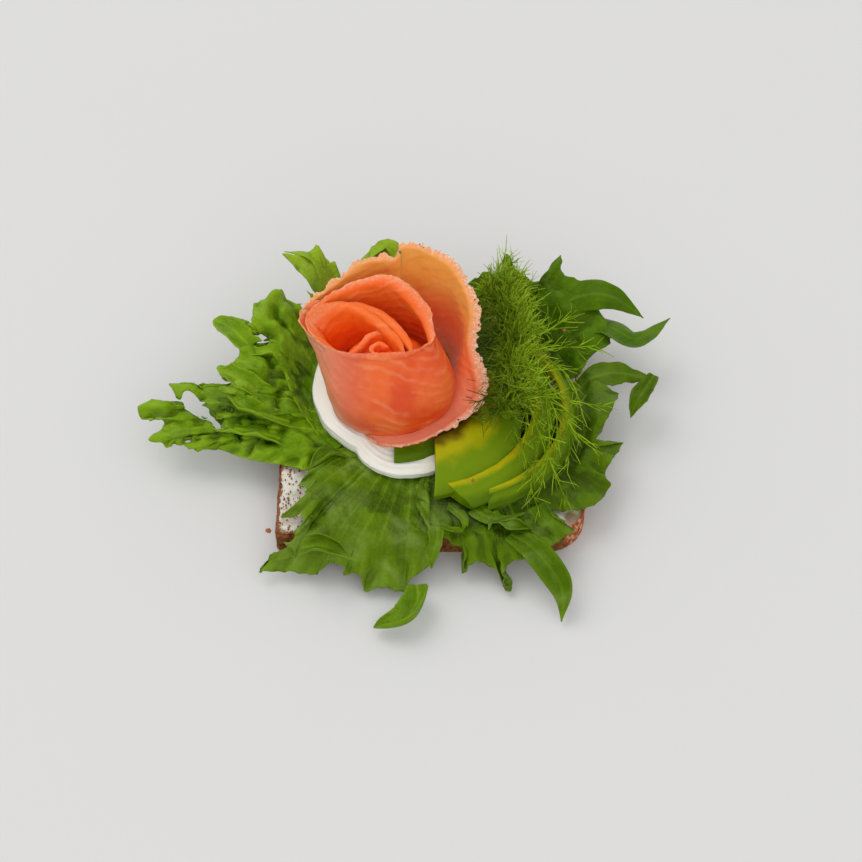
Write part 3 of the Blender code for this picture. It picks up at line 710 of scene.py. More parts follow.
def fan_sheet(leaf, seed):
    """The blade from the stem to the edge, with its folds, ruffles and teeth."""
    # a calm blade, drawn out to the toothed edge in its outer half
    edge, tooth_runs = leaf_edge(leaf)
    calm = edge.copy()
    for _ in range(CALM_ROUNDS):
        calm[1:-1] = (calm[:-2] + 2 * calm[1:-1] + calm[2:]) / 4
    u, v = np.meshgrid(np.linspace(0, 1, len(edge)), np.linspace(0, 1, FAN_ROWS), indexing="ij")
    stem_plan = [a + (b - a) * u for a, b in zip(leaf.stem_a, leaf.stem_b)]
    stem = np.stack([*stem_plan, leaf.stem_z + 0 * u], axis=-1)
    target = calm[:, None] + (edge - calm)[:, None] * smoothstep(v, 0.5, 1.0)[..., None]
    points = stem + (target - stem) * v[..., None]
    points[..., 2] += leaf.hump * np.sin(np.pi * v)

    # folds and blisters of the blade, then the ruffles along its edge
    run = arc_length(edge)[:, None] + 0 * v
    spot = np.stack([run, 0 * v + seed, 0 * v], axis=-1)
    phase = 2 * np.pi * run / RUFFLE_LENGTH + 2.4 * lumps(spot, 14, seed)
    plan = points * (1, 1, 0)
    folded = smoothstep(v, 0.12, 0.5) * (1 - 0.4 * smoothstep(v, 0.85, 1.0))
    lift = leaf.fold_depth * folded * (2.2 * abs(lumps(plan, leaf.fold_size, seed)) - 0.5)
    lift += 0.55 * leaf.fold_depth * folded * lumps(plan, leaf.fold_size / 3, seed + 2)
    lift += leaf.ruffle * smoothstep(v, 0.55, 1.0) ** 1.5 * np.sin(phase)
    lift += 0.25 * leaf.ruffle * smoothstep(v, 0.85, 1.0) * np.sin(2.7 * phase + 1)
    sway = 0.35 * leaf.fold_depth * folded * smoothstep(1 - v, 0.0, 0.2)

    # all of these stand up from the blade, the teeth lengthen it, and the folds push it sideways
    outward = unit(np.gradient(points, axis=1))
    normal = grid_normals(points)
    normal *= np.sign(normal[..., 2:] + 1e-6)
    points = points + normal * lift[..., None]
    points += outward * (0.8 * teeth(run, seed) * smoothstep(v, 0.85, 1.0))[..., None]
    for axis in (0, 1):
        points[..., axis] += sway * lumps(plan, leaf.fold_size, seed + 3 + axis)

    # what the material and the thickness need: a vein runs to each tooth, and painted shade darkens the
    # valleys and the leaf beside the avocado's fan
    from_vein = np.min(abs(run[..., None] - tooth_runs), axis=-1) * v
    vein = np.exp(-((from_vein / VEIN_WIDTH) ** 2)) * (1 - 0.8 * v) * smoothstep(v, 0.05, 0.2)
    length, height = arc_length(points)[-1, MEASURED_ROW], arc_length(np.swapaxes(points, 0, 1)).T
    surface = np.stack([u * length, height], axis=-1)
    thick = LEAF_THICK * (1 - 0.5 * smoothstep(v, 0.8, 1)) * (1 + 0.6 * vein)
    # painted shade: lowers the vein value in the folds' valleys and where the avocado shades the leaf
    painted_fold_shade = smoothstep(-lift, 0.0, 0.5 * leaf.fold_depth)
    painted_avocado_shade = FAN_REACH + 5 - np.hypot(points[..., 0] - FAN_CENTRE[0], points[..., 1] - FAN_CENTRE[1])
    painted_avocado_shade = smoothstep(painted_avocado_shade, 0.0, 5.0) * smoothstep(points[..., 0], -2.0, 2.0)
    return Sheet(settle(points), surface, vein - 1.4 * np.maximum(painted_fold_shade, painted_avocado_shade), v**4, thick)


print("the left leaf's edge is", round(arc_length(leaf_edge(LEAVES["lettuce_left"])[0])[-1]), "mm long")

# %% One lobe as a blade
BLADE_STEPS = 60
BLADE_ROWS = 27


def blade_sheet(blade, seed):
    """A strip along its path, with rolled, ruffled and toothed sides."""
    # the midrib, and the directions along it, to its right and above it
    steps = 1 - np.linspace(1, 0, BLADE_STEPS) ** 1.25
    t, s = np.meshgrid(steps, np.linspace(-1, 1, BLADE_ROWS), indexing="ij")
    middle = curve_through(blade.path, t[:, 0])[:, None, :]
    forward = unit(np.gradient(middle, axis=0))
    right = unit(np.cross(forward, (0.0, 0.0, 1.0)))
    above = np.cross(right, forward)

    # half the width at each step, with its teeth, and then the roll of both sides
    run = arc_length(middle) + 0 * s
    late = smoothstep(t, 0.45, 1.0) ** 0.9
    profile = smoothstep(t, -0.5, 0.5) * (1 - late ** (1.6 + 1.6 * blade.tip)) ** (1.0 - 0.5 * blade.tip)
    bite = teeth(run + 20 * np.sign(s), seed) * smoothstep(t, 0.1, 0.3)
    wide = blade.wide * (profile + 0.03) + 1.1 * blade.frill * bite * np.sqrt(profile + 0.01)
    roll = np.where(s < 0, blade.left, blade.right) * smoothstep(t, -0.1, 0.4)
    roll = np.where(abs(roll) < 0.05, 0.05, roll)
    across = wide * np.sin(roll * abs(s)) / roll * np.sign(s)
    lift = wide * (1 - np.cos(roll * abs(s))) / roll

    # frills grow towards the sides, and the vein is a shallow groove
    phase = 2 * np.pi * run / FRILL_LENGTH + 2.5 * np.sign(s) + 2 * lumps(middle + 0 * s[..., None], 12, seed)
    grow = blade.frill * s**2 * smoothstep(t, 0.1, 0.6)
    vein = np.exp(-((s * wide / 0.5) ** 2)) * (1 - 0.7 * t)
    lift = lift + grow * np.sin(phase) - 0.2 * vein
    points = middle + right * across[..., None] + above * lift[..., None]
    points = points + forward * (0.4 * grow * np.sin(2 * phase))[..., None]
    points[..., 2] += 0.4 * lumps(points, 8, seed)
    edge = np.maximum(abs(s), t) ** 4
    surface = np.stack([s * wide, run], axis=-1)
    return Sheet(settle(points), surface, vein, edge, LEAF_THICK * (1 - 0.45 * edge))


print("the loose curl starts", BLADES["lettuce_curl"][0].path[0][2], "mm up")

# %% [markdown]
# A fresh leaf is a waxy skin over wet green tissue, moulded by its veins. The skin gives a soft sheen, and
# the thin tissue lets light through, most of all at the edge; the colour paints this in, so edges are
# painted brighter and yellower, and a pale sheen is painted in patches. Fine veins run outwards from the
# stem: they follow the sheet's own map, drawn out along its length. Shade is painted into the hollows, so
# they are dark and the ridges bright. The sheet says which is which in its `vein` value, and that value
# carries the painted shade, darkest beside the avocado's fan, where the avocado shades the leaf.

# %% Lettuce material
# each leaf's tones: its hollows with painted shade, its flat parts, its ridges and edges, and how much
# painted pale sheen it bears
# the leaves on the left are lighter and those on the right darker, partly as leaves differ and partly as
# painted light from the window at the back left
LEAF_TONES = {
    "lettuce_left": ("#2c4c02", "#5c8406", "#98bc26", 0.2),
    "lettuce_front": ("#324e02", "#496a04", "#76961c", 0.45),
    "lettuce_front_right": ("#1e3600", "#406003", "#6a8c12", 0.3),
    "lettuce_right": ("#1c3200", "#385602", "#62820e", 0.15),
    "lettuce_back_right": ("#203a00", "#3a5c02", "#5e840a", 0.1),
    "lettuce_back_left": ("#486c06", "#76980e", "#a4c434", 0.15),
    "lettuce_curl": ("#345602", "#547a06", "#84a822", 0.2),
}


def leaf_tissue(add, place, painted_hollow_shade, flat, ridge, painted_sheen):
    """Green tissue under a waxy skin: painted shade in the folds and painted light at the edge set the
    tone, and a painted pale sheen clouds it in patches.
    """
    skin = add("ShaderNodeUVMap", uv_map="surface")
    along = add("ShaderNodeMapping", {0: skin, "Scale": (1.0, 0.06, 1.0)})
    streaks = add("ShaderNodeTexNoise", {0: along, "Scale": per_mm(1.1), "Roughness": 0.6})
    patches = add("ShaderNodeTexNoise", {0: place, "Scale": per_mm(9), "Detail": 5.0, "Roughness": 0.6})
    fold = add("ShaderNodeAttribute", output="Fac", attribute_name="vein")
    fold = add("ShaderNodeMath", {0: patches, 1: 3.0, 2: fold}, operation="MULTIPLY_ADD")
    edge = add("ShaderNodeAttribute", output="Fac", attribute_name="edge")
    sheen_patches = add("ShaderNodeTexNoise", {0: place, "Scale": per_mm(12), "Detail": 5.0, "Distortion": 1.0})
    layers = [
        # the base is painted shade where the vein value is low; the ridge tone comes from veins, random
        # patches and, at the edge, painted light through the thin tissue
        (fold, 0.3, 1.5, 1.0, flat, "SMOOTHSTEP"),
        (fold, 1.45, 2.4, 0.7, ridge, "LINEAR"),
        (streaks, 0.48, 0.74, 0.25, ridge, "LINEAR"),
        (edge, 0.0, 1.0, 0.5, ridge, "LINEAR"),
        # painted sheen: pale grey-green patches stand in for the soft highlights of the waxy skin
        (sheen_patches, 0.45, 0.70, painted_sheen, "#86a050", "SMOOTHSTEP"),
    ]
    ribbed = add("ShaderNodeBump", {"Height": streaks, "Distance": 0.12 * MM})
    puckers = add("ShaderNodeTexNoise", {0: place, "Scale": per_mm(3.0), "Detail": 3.0})
    return {
        "Base Color": lay_tones(add, painted_hollow_shade, layers),
        "Normal": add("ShaderNodeBump", {"Height": puckers, "Distance": 1.1 * MM, "Normal": ribbed}),
        "Roughness": add("ShaderNodeMapRange", {0: patches, 1: 0.3, 2: 0.7, 3: 0.30, 4: 0.5}),
        "Specular IOR Level": 0.26,
        "Specular Tint": "#e4f070",
        "Subsurface Weight": 0.15,
        "Subsurface Radius": (0.5, 1.0, 0.03),
        "Subsurface Scale": 0.7 * MM,
    }


print("tones for", len(LEAF_TONES), "leaves")

# %% Make the leaves
for seed, (name, blades) in enumerate(BLADES.items()):
    sheets = [blade_sheet(blade, seed + 0.37 * number) for number, blade in enumerate(blades)]
    if name in LEAVES:
        sheets.insert(0, fan_sheet(LEAVES[name], seed + 1))
    tissue = make_material(name + "_tissue", leaf_tissue, *LEAF_TONES[name])
    dress(closed_sheets(name + "_leaf", sheets, tissue, GAPS.get(name, ())), "lettuce", name)

# %% [markdown]
# ## Cream
#
# Whipped cream cheese is stiff enough to stand in a mound. It keeps the soft ridges that a piping bag or a
# spoon draws, and they run along its foot. The mound follows the outline of its solid, with the ridges
# added.

# %% Cream
# a point inside both mounds, the side where the avocado cuts the cream off, and the foot's and top's heights
CREAM_HEART = (-13.0, -12.0)
CREAM_RIGHT = 2.0
CREAM_BASE = 14.1
CREAM_TOP = 19.8
CREAM_AROUND = 320
CREAM_LEVELS = 96
OUTLINE_ROUNDS = 6
# from one ridge to the next, inwards and upwards
RIDGE_IN = 2.4
RIDGE_UP = 2.9


def cream_reach(angle):
    """How far the outline lies from CREAM_HEART in each direction: the farther of the two mounds."""
    farthest = 0 * angle
    for cx, cy, half_x, half_y in CREAM_MOUNDS:
        px, py = (CREAM_HEART[0] - cx) / half_x, (CREAM_HEART[1] - cy) / half_y
        dx, dy = np.cos(angle) / half_x, np.sin(angle) / half_y
        a, b, c = dx * dx + dy * dy, px * dx + py * dy, px * px + py * py - 1
        farthest = np.maximum(farthest, (-b + np.sqrt(b * b - a * c)) / a)
    return farthest


def cream_rings():
    """Rings from the mound's foot to its top, and how far inside the outline each point lies."""
    angle = np.linspace(0, 2 * math.pi, CREAM_AROUND, endpoint=False)
    climb = np.linspace(-0.98, 1.0, CREAM_LEVELS)[:-1]
    around, level = np.meshgrid(angle, climb * math.pi / 2)
    reach = cream_reach(around)
    for _ in range(OUTLINE_ROUNDS):
        reach = (np.roll(reach, 1, axis=1) + 2 * reach + np.roll(reach, -1, axis=1)) / 4
    share = np.minimum(np.cos(level) * 1.06, 1.0)
    x = CREAM_HEART[0] + reach * share * np.cos(around)
    y = CREAM_HEART[1] + reach * share * np.sin(around)
    top = CREAM_TOP - 3.0 * smoothstep(-y, 14.0, 26.0)
    rise = np.clip(np.sin(level) * 1.5, -1, 1)
    z = (CREAM_BASE - 1.5 + top) / 2 + (top - CREAM_BASE + 1.5) / 2 * rise
    points = np.stack([np.minimum(x, CREAM_RIGHT), y, z], axis=-1)
    return points, reach * (1 - share)


def whipped_cream_cheese(add, place):
    """Cream cheese with air beaten into it: almost white, matt, and light spreads far inside it."""
    tone = add("ShaderNodeTexNoise", {0: place, "Scale": per_mm(10)})
    fine = add("ShaderNodeTexNoise", {0: place, "Scale": per_mm(1.1)})
    return {
        "Base Color": add("ShaderNodeMix", {0: tone, 6: "#f4f2e6", 7: "#faf7ec"}, 2, data_type="RGBA"),
        "Normal": add("ShaderNodeBump", {"Height": fine, "Distance": 0.06 * MM}),
        "Roughness": 0.45,
        "Specular IOR Level": 0.4,
        "Subsurface Weight": 0.6,
        "Subsurface Radius": (1.0, 0.95, 0.8),
        "Subsurface Scale": 2.0 * MM,
    }


mound, inward = cream_rings()
ridge = np.sin(2 * math.pi * (inward / RIDGE_IN + mound[..., 2] / RIDGE_UP) + 3.0 * lumps(mound, 10, 3))
wrinkled = smoothstep(lumps(mound, 11, 6), -0.3, 0.4)
low = smoothstep(mound[..., 2], CREAM_BASE, CREAM_BASE + 2) * smoothstep(-mound[..., 1], 4, 14)
fold = 0.14 * ridge * wrinkled * low + 0.5 * lumps(mound, 9, 4) + 0.2 * lumps(mound, 3, 5)
whipped = make_material("whipped_cream_cheese", whipped_cream_cheese)
ridged = mound + ring_normals(mound) * fold[..., None]
dress(ring_body("cream_mound", ridged, whipped, "inward", inward), "cream", "cream")

# %% [markdown]
# ## Avocado
#
# A ripe half is peeled, sliced and fanned. Each slice is a wedge of soft flesh, yellow where it lay at the
# stone and green under the skin. The slices follow the arcs of their solids: a rounded section, swept along
# the arc and drawn in at both ends. How far across the slice a point lies is kept as an attribute for the
# colour.

# %% Avocado slices
# x, y, radius, top: the arc that the slice's ridge follows. start and end: its angles in degrees.
# skew: how much the ends slant. width, slope, thick: of the wedge.
# taper_a and taper_b: its size at the two ends. yellow: how far across the yellow reaches.
Slice = namedtuple("Slice", "x y radius top start end skew width slope thick taper_a taper_b yellow")

SLICES = {
    "avocado_slice_0": Slice(-12.0, 3.0, 21.6, 19.9, -90, -22, 0.0, 7.4, 12, 2.0, 1.0, 0.7, 0.0),
    "avocado_slice_1": Slice(-8.0, 2.0, 25.0, 23.2, -69, 12, -0.5, 18.4, 14, 3.4, 1.0, 0.5, 0.42),
    "avocado_slice_2": Slice(-2.0, -1.0, 36.8, 19.9, -78, 20, 1.0, 8.2, 24, 2.9, 1.0, 0.6, 0.1),
    "avocado_slice_3": Slice(8.2, -3.0, 36.0, 18.0, -73, 54, -0.6, 5.6, 40, 2.4, 1.0, 0.6, 0.12),
}
# where along the slice its two ends start to taper, and how far the wedge reaches inside its arc
FIRST_TAPER = 3.0
LAST_TAPER = 0.4
SLICE_EDGE = 0.9
SECTION_POINTS = 60
SLICE_STEPS = 90


def slice_section(cut, size):
    """The wedge's rounded outline, from its inner foot over the ridge to its outer foot, and back below."""
    slope = math.radians(cut.slope)
    reach, drop = cut.width * size * math.cos(slope), cut.width * size * math.sin(slope)
    thick = cut.thick * (1 + size) / 2
    foot = -drop - thick
    swell = 0.045 * cut.width * size
    knots = [
        (-0.4, foot), (-SLICE_EDGE, foot / 2), (-SLICE_EDGE, -0.9), (-0.5, 0.0), (1.6, 0.0),
        (0.32 * reach, -0.26 * drop + swell), (0.5 * reach, -0.5 * drop + 1.2 * swell),
        (0.8 * reach, -0.8 * drop + swell), (reach - 0.2, -drop - 0.1), (reach + 0.5, -drop - 1.1),
        (reach + 0.1, foot + 0.4), (reach - 0.8, foot), (0.5 * reach, foot), (-0.4, foot),
    ]
    outline = curve_through(knots, np.linspace(0, 1, SECTION_POINTS, endpoint=False))
    return outline, np.clip(outline[:, 0] / reach, 0, 1) - cut.yellow


def slice_rings(cut):
    """Sections along the arc; the first and last close in on themselves, so that the cut ends are rounded."""
    steps = np.linspace(0, 1, SLICE_STEPS)
    ends = [(0.0, 0.80), (0.0, 0.93), (0.002, 0.985)]
    stations = ends + [(0.006 + 0.988 * s, 1.0) for s in steps] + [(1 - s, grow) for s, grow in ends[::-1]]
    rings, across = [], []
    for share, grow in stations:
        first = min(cut.taper_a + FIRST_TAPER * share, 1.0)
        fade = float(smoothstep(np.array(share), LAST_TAPER, 1.0))
        outline, value = slice_section(cut, first * (1 - (1 - cut.taper_b) * fade))
        middle = outline.mean(axis=0)
        outline = middle + (outline - middle) * grow
        angle = cut.start + (cut.end - cut.start) * share + cut.skew * (1 - share) * outline[:, 0]
        radius = cut.radius + outline[:, 0]
        x = cut.x + radius * np.cos(np.radians(angle))
        y = cut.y + radius * np.sin(np.radians(angle))
        rings.append(np.stack([x, y, cut.top + outline[:, 1]], axis=-1))
        across.append(value)
    return np.array(rings), np.array(across)


def avocado_flesh(add, place):
    """Soft oily flesh, coloured by how far across the slice a point lies, with a little cloudiness, and a
    painted shade on a slice's inner part under the rose.
    """
    tone = add("ShaderNodeTexNoise", {0: place, "Scale": per_mm(6), "Detail": 3.0})
    across = add("ShaderNodeAttribute", output="Fac", attribute_name="across")
    across = add("ShaderNodeMath", {0: tone, 1: 0.45, 2: across}, operation="MULTIPLY_ADD")
    layers = [
        (across, 0.14, 0.46, 1.0, "#6f8c06", "SMOOTHSTEP"),
        # painted shade: a slice's inner part, under the salmon's lip, is painted dark brownish olive
        (across, 0.06, -0.20, 1.0, "#624c02", "SMOOTHSTEP"),
        (across, 0.60, 1.10, 1.0, "#527204", "SMOOTHSTEP"),
    ]
    fine = add("ShaderNodeTexNoise", {0: place, "Scale": per_mm(1.5), "Detail": 3.0})
    return {
        "Base Color": lay_tones(add, "#aaa602", layers),
        "Normal": add("ShaderNodeBump", {"Height": fine, "Distance": 0.08 * MM}),
        "Roughness": 0.45,
        "Specular IOR Level": 0.22,
        "Specular Tint": "#eef0a0",
        "Subsurface Weight": 0.4,
        "Subsurface Radius": (1.0, 0.9, 0.05),
        "Subsurface Scale": 2.0 * MM,
    }


avocado = make_material("avocado_flesh", avocado_flesh)
for seed, (name, cut) in enumerate(SLICES.items()):
    rings, across = slice_rings(cut)
    rings = rings[:, ::-1]
    waves = 0.22 * lumps(rings, 5, seed + 1) + 0.08 * lumps(rings, 1.6, seed + 2)
    uneven = rings + ring_normals(rings) * waves[..., None]
    dress(ring_body(name + "_flesh", uneven, avocado, "across", across[:, ::-1]), "avocado", name)

# %% [markdown]
# ## Smoked salmon
#
# The rose is rolled from thin slices of smoked salmon. Each slice is a strip that stands on its edge. A
# station of the strip gives its foot, its rim, how far its wall bulges, how wide its rim rolls outwards
# (inwards if negative) and through how many degrees. The wrap starts at the back, runs round the front and
# turns in again on the left, where the inner fold lines it and carries on as the next ridge. The core is a
# small spiral.

# %% Stations of the petals
# each station: foot x and y, rim x, y and z, belly, roll, and the turn of the rim in degrees
PETALS = {
    "salmon_outer": [
        (-33.0, 11.5, -42.2, 12.0, 46.5, 0.5, 0.8, 60),
        (-31.0, 16.5, -39.4, 17.0, 48.2, 0.8, 0.8, 60),
        (-27.5, 20.0, -33.0, 20.8, 51.2, 0.8, 0.8, 60),
        (-20.0, 23.6, -22.0, 27.6, 55.6, 0.8, 1.0, 60),
        (-11.0, 24.4, -12.0, 28.2, 56.6, 0.8, 1.0, 60),
        (-8.6, 24.2, -9.6, 30.0, 60.6, 0.8, 1.0, 60),
        (-3.0, 23.0, -2.0, 29.6, 60.2, 0.8, 1.4, 70),
        (5.0, 18.0, 8.6, 24.0, 57.2, 1.2, 2.0, 80),
        (7.4, 9.6, 15.4, 13.6, 51.0, 1.2, 3.0, 90),
        (5.6, 2.0, 15.0, 3.6, 40.0, 1.0, 3.2, 100),
        (2.6, -6.6, 18.6, -7.2, 31.0, 1.0, 4.4, 100),
        (-1.6, -11.4, 10.0, -16.2, 26.4, 1.0, 3.0, 90),
        (-7.4, -14.4, -4.4, -23.0, 23.6, 1.0, 1.4, 80),
        (-15.0, -15.0, -15.6, -22.8, 22.2, 1.0, 0.8, 60),
        (-22.0, -13.0, -22.6, -16.0, 20.0, 0.5, 0.4, 60),
    ],
    "salmon_wrap": [
        (-34.0, 7.0, -40.6, 11.6, 46.8, 0.4, 0.6, 60),
        (-30.5, 9.0, -35.4, 15.6, 49.8, 0.6, 1.0, 70),
        (-26.0, 13.0, -28.4, 18.4, 52.6, 1.0, 1.6, 80),
        (-20.0, 16.2, -20.4, 20.4, 55.0, 1.4, 2.4, 100),
        (-12.0, 15.6, -12.4, 19.8, 56.2, 1.5, 3.2, 105),
        (-4.6, 11.6, -5.6, 15.4, 55.2, 1.6, 3.6, 110),
        (2.0, 5.6, -0.4, 9.0, 52.2, 2.2, 3.4, 105),
        (4.6, -2.0, 1.0, 2.2, 49.4, 3.6, 2.2, 80),
        (3.0, -10.0, -0.2, -1.8, 48.0, 4.8, 0.6, 50),
        (-4.6, -16.0, -7.4, -4.8, 47.4, 5.0, -1.0, 55),
        (-14.0, -17.8, -17.0, -5.4, 47.2, 5.0, -1.2, 60),
        (-24.4, -15.6, -26.6, -4.8, 46.8, 4.4, -0.8, 50),
        (-30.6, -9.4, -35.2, -0.6, 46.4, 1.6, 0.8, 40),
        (-32.4, 0.0, -42.6, 8.6, 46.0, 0.2, 2.0, 50),
        (-30.6, 6.0, -40.4, 14.4, 47.6, 0.3, 2.0, 50),
        (-26.6, 9.0, -34.4, 16.6, 49.2, 0.3, 1.4, 60),
    ],
    "salmon_fold_outer": [
        (-21.0, 11.0, -26.4, 15.4, 48.6, 0.3, 1.2, 90),
        (-16.4, 8.8, -21.0, 13.4, 49.8, 0.5, 2.2, 110),
        (-12.4, 5.6, -16.2, 10.6, 50.0, 0.5, 2.6, 120),
        (-9.0, 1.6, -11.8, 6.8, 49.8, 0.5, 2.6, 120),
        (-6.8, -2.6, -8.4, 2.4, 49.2, 0.5, 2.2, 115),
        (-5.6, -7.0, -6.2, -1.8, 48.2, 0.4, 1.5, 100),
        (-6.0, -11.5, -5.6, -5.5, 47.0, 0.3, 0.6, 60),
    ],
    "salmon_fold_inner": [
        (-25.0, -6.5, -31.0, -3.2, 45.8, 0.3, 1.6, 50),
        (-26.6, -1.0, -38.4, 3.4, 46.4, 0.4, 4.6, 55),
        (-27.0, 4.5, -40.6, 9.6, 47.0, 0.4, 6.0, 60),
        (-25.6, 8.2, -36.0, 13.6, 48.8, 0.4, 4.4, 75),
        (-22.0, 9.0, -28.8, 14.4, 49.8, 0.5, 2.6, 100),
        (-17.8, 7.4, -22.6, 12.4, 50.1, 0.5, 2.4, 115),
        (-14.4, 4.4, -18.4, 9.0, 50.1, 0.5, 2.4, 120),
        (-11.8, 0.8, -14.4, 5.2, 49.7, 0.5, 2.2, 120),
        (-10.2, -3.2, -11.4, 1.6, 49.0, 0.5, 1.8, 115),
        (-9.4, -7.5, -9.0, -1.6, 48.0, 0.5, 1.2, 90),
        (-10.4, -11.5, -8.4, -4.8, 47.0, 0.4, 0.6, 60),
    ],
    "salmon_core": [
        (-25.0, -6.5, -27.0, -4.6, 45.4, 0.2, 0.5, 60),
        (-22.0, -2.0, -23.4, -0.8, 45.8, 0.3, 0.8, 80),
        (-19.4, 1.4, -20.8, 3.2, 46.0, 0.3, 1.2, 100),
        (-16.0, 1.6, -16.4, 4.8, 46.6, 0.3, 1.4, 100),
        (-12.8, 0.4, -12.4, 4.0, 46.8, 0.3, 1.4, 100),
        (-10.8, -3.0, -9.6, 0.6, 46.8, 0.3, 1.2, 100),
        (-10.8, -7.2, -8.8, -4.2, 46.4, 0.3, 0.8, 90),
        (-13.6, -8.4, -12.6, -6.8, 46.0, 0.2, 0.7, 90),
        (-17.2, -7.0, -17.8, -5.4, 46.0, 0.2, 0.7, 90),
        (-18.4, -3.8, -19.6, -2.2, 46.0, 0.2, 0.7, 90),
        (-16.6, -1.8, -16.8, 0.2, 46.2, 0.2, 0.7, 90),
        (-14.2, -2.8, -13.6, -1.2, 46.0, 0.1, 0.5, 90),
    ],
}
ROSE_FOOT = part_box("salmon_wrap")[0].z / MM
print(sum(len(stations) for stations in PETALS.values()), "stations in", len(PETALS), "slices")

# %% [markdown]
# Salmon flesh is orange muscle in bands, parted by thin pale sheets of fat. A slice cut across them shows
# pale streaks. Smoking dries the surface to a soft gloss, and light enters the flesh, which is why a thin
# rim looks pale and a deep fold glows red. The colour paints this light in: faces that look into the rose
# get a painted glow by height, the left side is painted paler where the light falls, and the rim is
# painted paler, partly as dried flesh and partly as light through its thin edge.

# %% Salmon material
BAND_WIDTH = 3.4


def smoked_salmon(add, place, low_tone, deep_tone, high_tone):
    """Smoked salmon. The tones are painted light for faces that look inwards, by height: at the foot, deep
    inside and at the top.
    """
    flat = add("ShaderNodeUVMap", uv_map="surface")
    turned = add("ShaderNodeMapping", {0: flat, "Rotation": (0, 0, math.radians(24))})
    # a wave texture repeats every pi / 10 of its units
    scale = per_mm(BAND_WIDTH) * math.pi / 10
    waves = {0: turned, "Scale": scale, "Distortion": 9.0, "Detail": 4.0, "Detail Scale": 0.8}
    bands = add("ShaderNodeTexWave", waves, "Fac", bands_direction="Y")

    tone = add("ShaderNodeTexNoise", {0: place, "Scale": per_mm(11), "Detail": 3.0})
    sideways = add("ShaderNodeSeparateXYZ", {0: place}, "X")
    upwards = add("ShaderNodeSeparateXYZ", {0: place}, "Z")
    # painted light: the left side, where the window's light falls, is painted paler pink
    painted_light_left = [
        (tone, 0.38, 0.62, 1.0, "#ec6c2a", "SMOOTHSTEP"),
        (sideways, -0.018, -0.036, 0.8, "#dc9676", "LINEAR"),
    ]
    # painted light: inward faces get a brighter, redder glow by height, for light through the flesh
    painted_light_by_height = [
        (upwards, 0.036, 0.047, 1.0, high_tone, "LINEAR"),
        (upwards, 0.034, 0.022, 0.85, low_tone, "LINEAR"),
    ]
    outside = add("ShaderNodeAttribute", output="Fac", attribute_name="outside")
    deep = add("ShaderNodeAttribute", output="Fac", attribute_name="vein")
    share = add("ShaderNodeMath", {0: outside, 1: deep}, operation="SUBTRACT", use_clamp=True)
    faces = {0: share, 6: lay_tones(add, deep_tone, painted_light_by_height), 7: lay_tones(add, "#e04e12", painted_light_left)}
    colour = add("ShaderNodeMix", faces, 2, data_type="RGBA")

    soft = {"interpolation_type": "SMOOTHSTEP"}
    broken = add("ShaderNodeTexNoise", {0: place, "Scale": per_mm(12), "Detail": 3.0, "Distortion": 0.6})
    broken = add("ShaderNodeMapRange", {0: broken, 1: 0.40, 2: 0.66, 4: 0.24}, **soft)
    fat = add("ShaderNodeMapRange", {0: bands, 1: 0.45, 2: 1.0}, **soft)
    fat = add("ShaderNodeMath", {0: fat, 1: broken}, operation="MULTIPLY")
    rim = add("ShaderNodeAttribute", output="Fac", attribute_name="edge")
    flecks = add("ShaderNodeTexNoise", {0: place, "Scale": per_mm(0.9), "Detail": 3.0, "Roughness": 0.7})
    dried = add("ShaderNodeMapRange", {0: flecks, 1: 0.50, 2: 0.64})
    dried = add("ShaderNodeMath", {0: dried, 1: rim}, operation="MULTIPLY")
    pale = [
        (fat, 0.0, 1.0, 1.0, "#f6b48c", "LINEAR"),
        # the rim's pale tone: partly dried flesh, partly painted light through its thin edge
        (rim, 0.02, 0.7, 0.75, "#f0a67e", "LINEAR"),
        (dried, 0.0, 1.0, 1.0, "#fbdcc6", "LINEAR"),
    ]
    grain = add("ShaderNodeBump", {"Height": bands, "Distance": 0.10 * MM})
    creases = add("ShaderNodeTexNoise", {0: place, "Scale": per_mm(3.2), "Detail": 3.0})
    grain = add("ShaderNodeBump", {"Height": creases, "Distance": 0.35 * MM, "Normal": grain})
    return {
        "Base Color": lay_tones(add, colour, pale),
        "Normal": add("ShaderNodeBump", {"Height": flecks, "Distance": 0.10 * MM, "Normal": grain}),
        "Roughness": 0.42,
        "Specular IOR Level": 0.28,
        "Subsurface Weight": 0.7,
        "Subsurface Radius": (1.0, 0.40, 0.15),
        "Subsurface Scale": 1.1 * MM,
    }


# the outer petal's copy paints its inward faces paler and brighter: painted light shining through its thin
# flesh from the window behind
salmon = make_material("smoked_salmon_bud", smoked_salmon, "#ff640c", "#ff640c", "#ff7220")
thin_salmon = make_material("smoked_salmon_outer_petal", smoked_salmon, "#f4a284", "#fa7c48", "#ffb254")
print("salmon has", len(salmon.node_tree.nodes), "nodes")

# %% The shape of a petal
# how much of the strip is wall and how much rolled rim, how late the wall flares out, and its thickness
WALL_SHARE = 0.66
FLARE = 0.5
SALMON_THICK = 1.2
STEPS_PER_STATION = 24
PETAL_ROWS = 72
ROLL_ROUNDS = 10
# how deep and how long the tears of a rim and the creases of a slice are, in millimetres
TEARS = [(0.9, 4.0), (0.9, 1.4), (0.4, 0.7)]
CREASES = [(0.5, 12), (0.3, 5), (0.12, 2)]


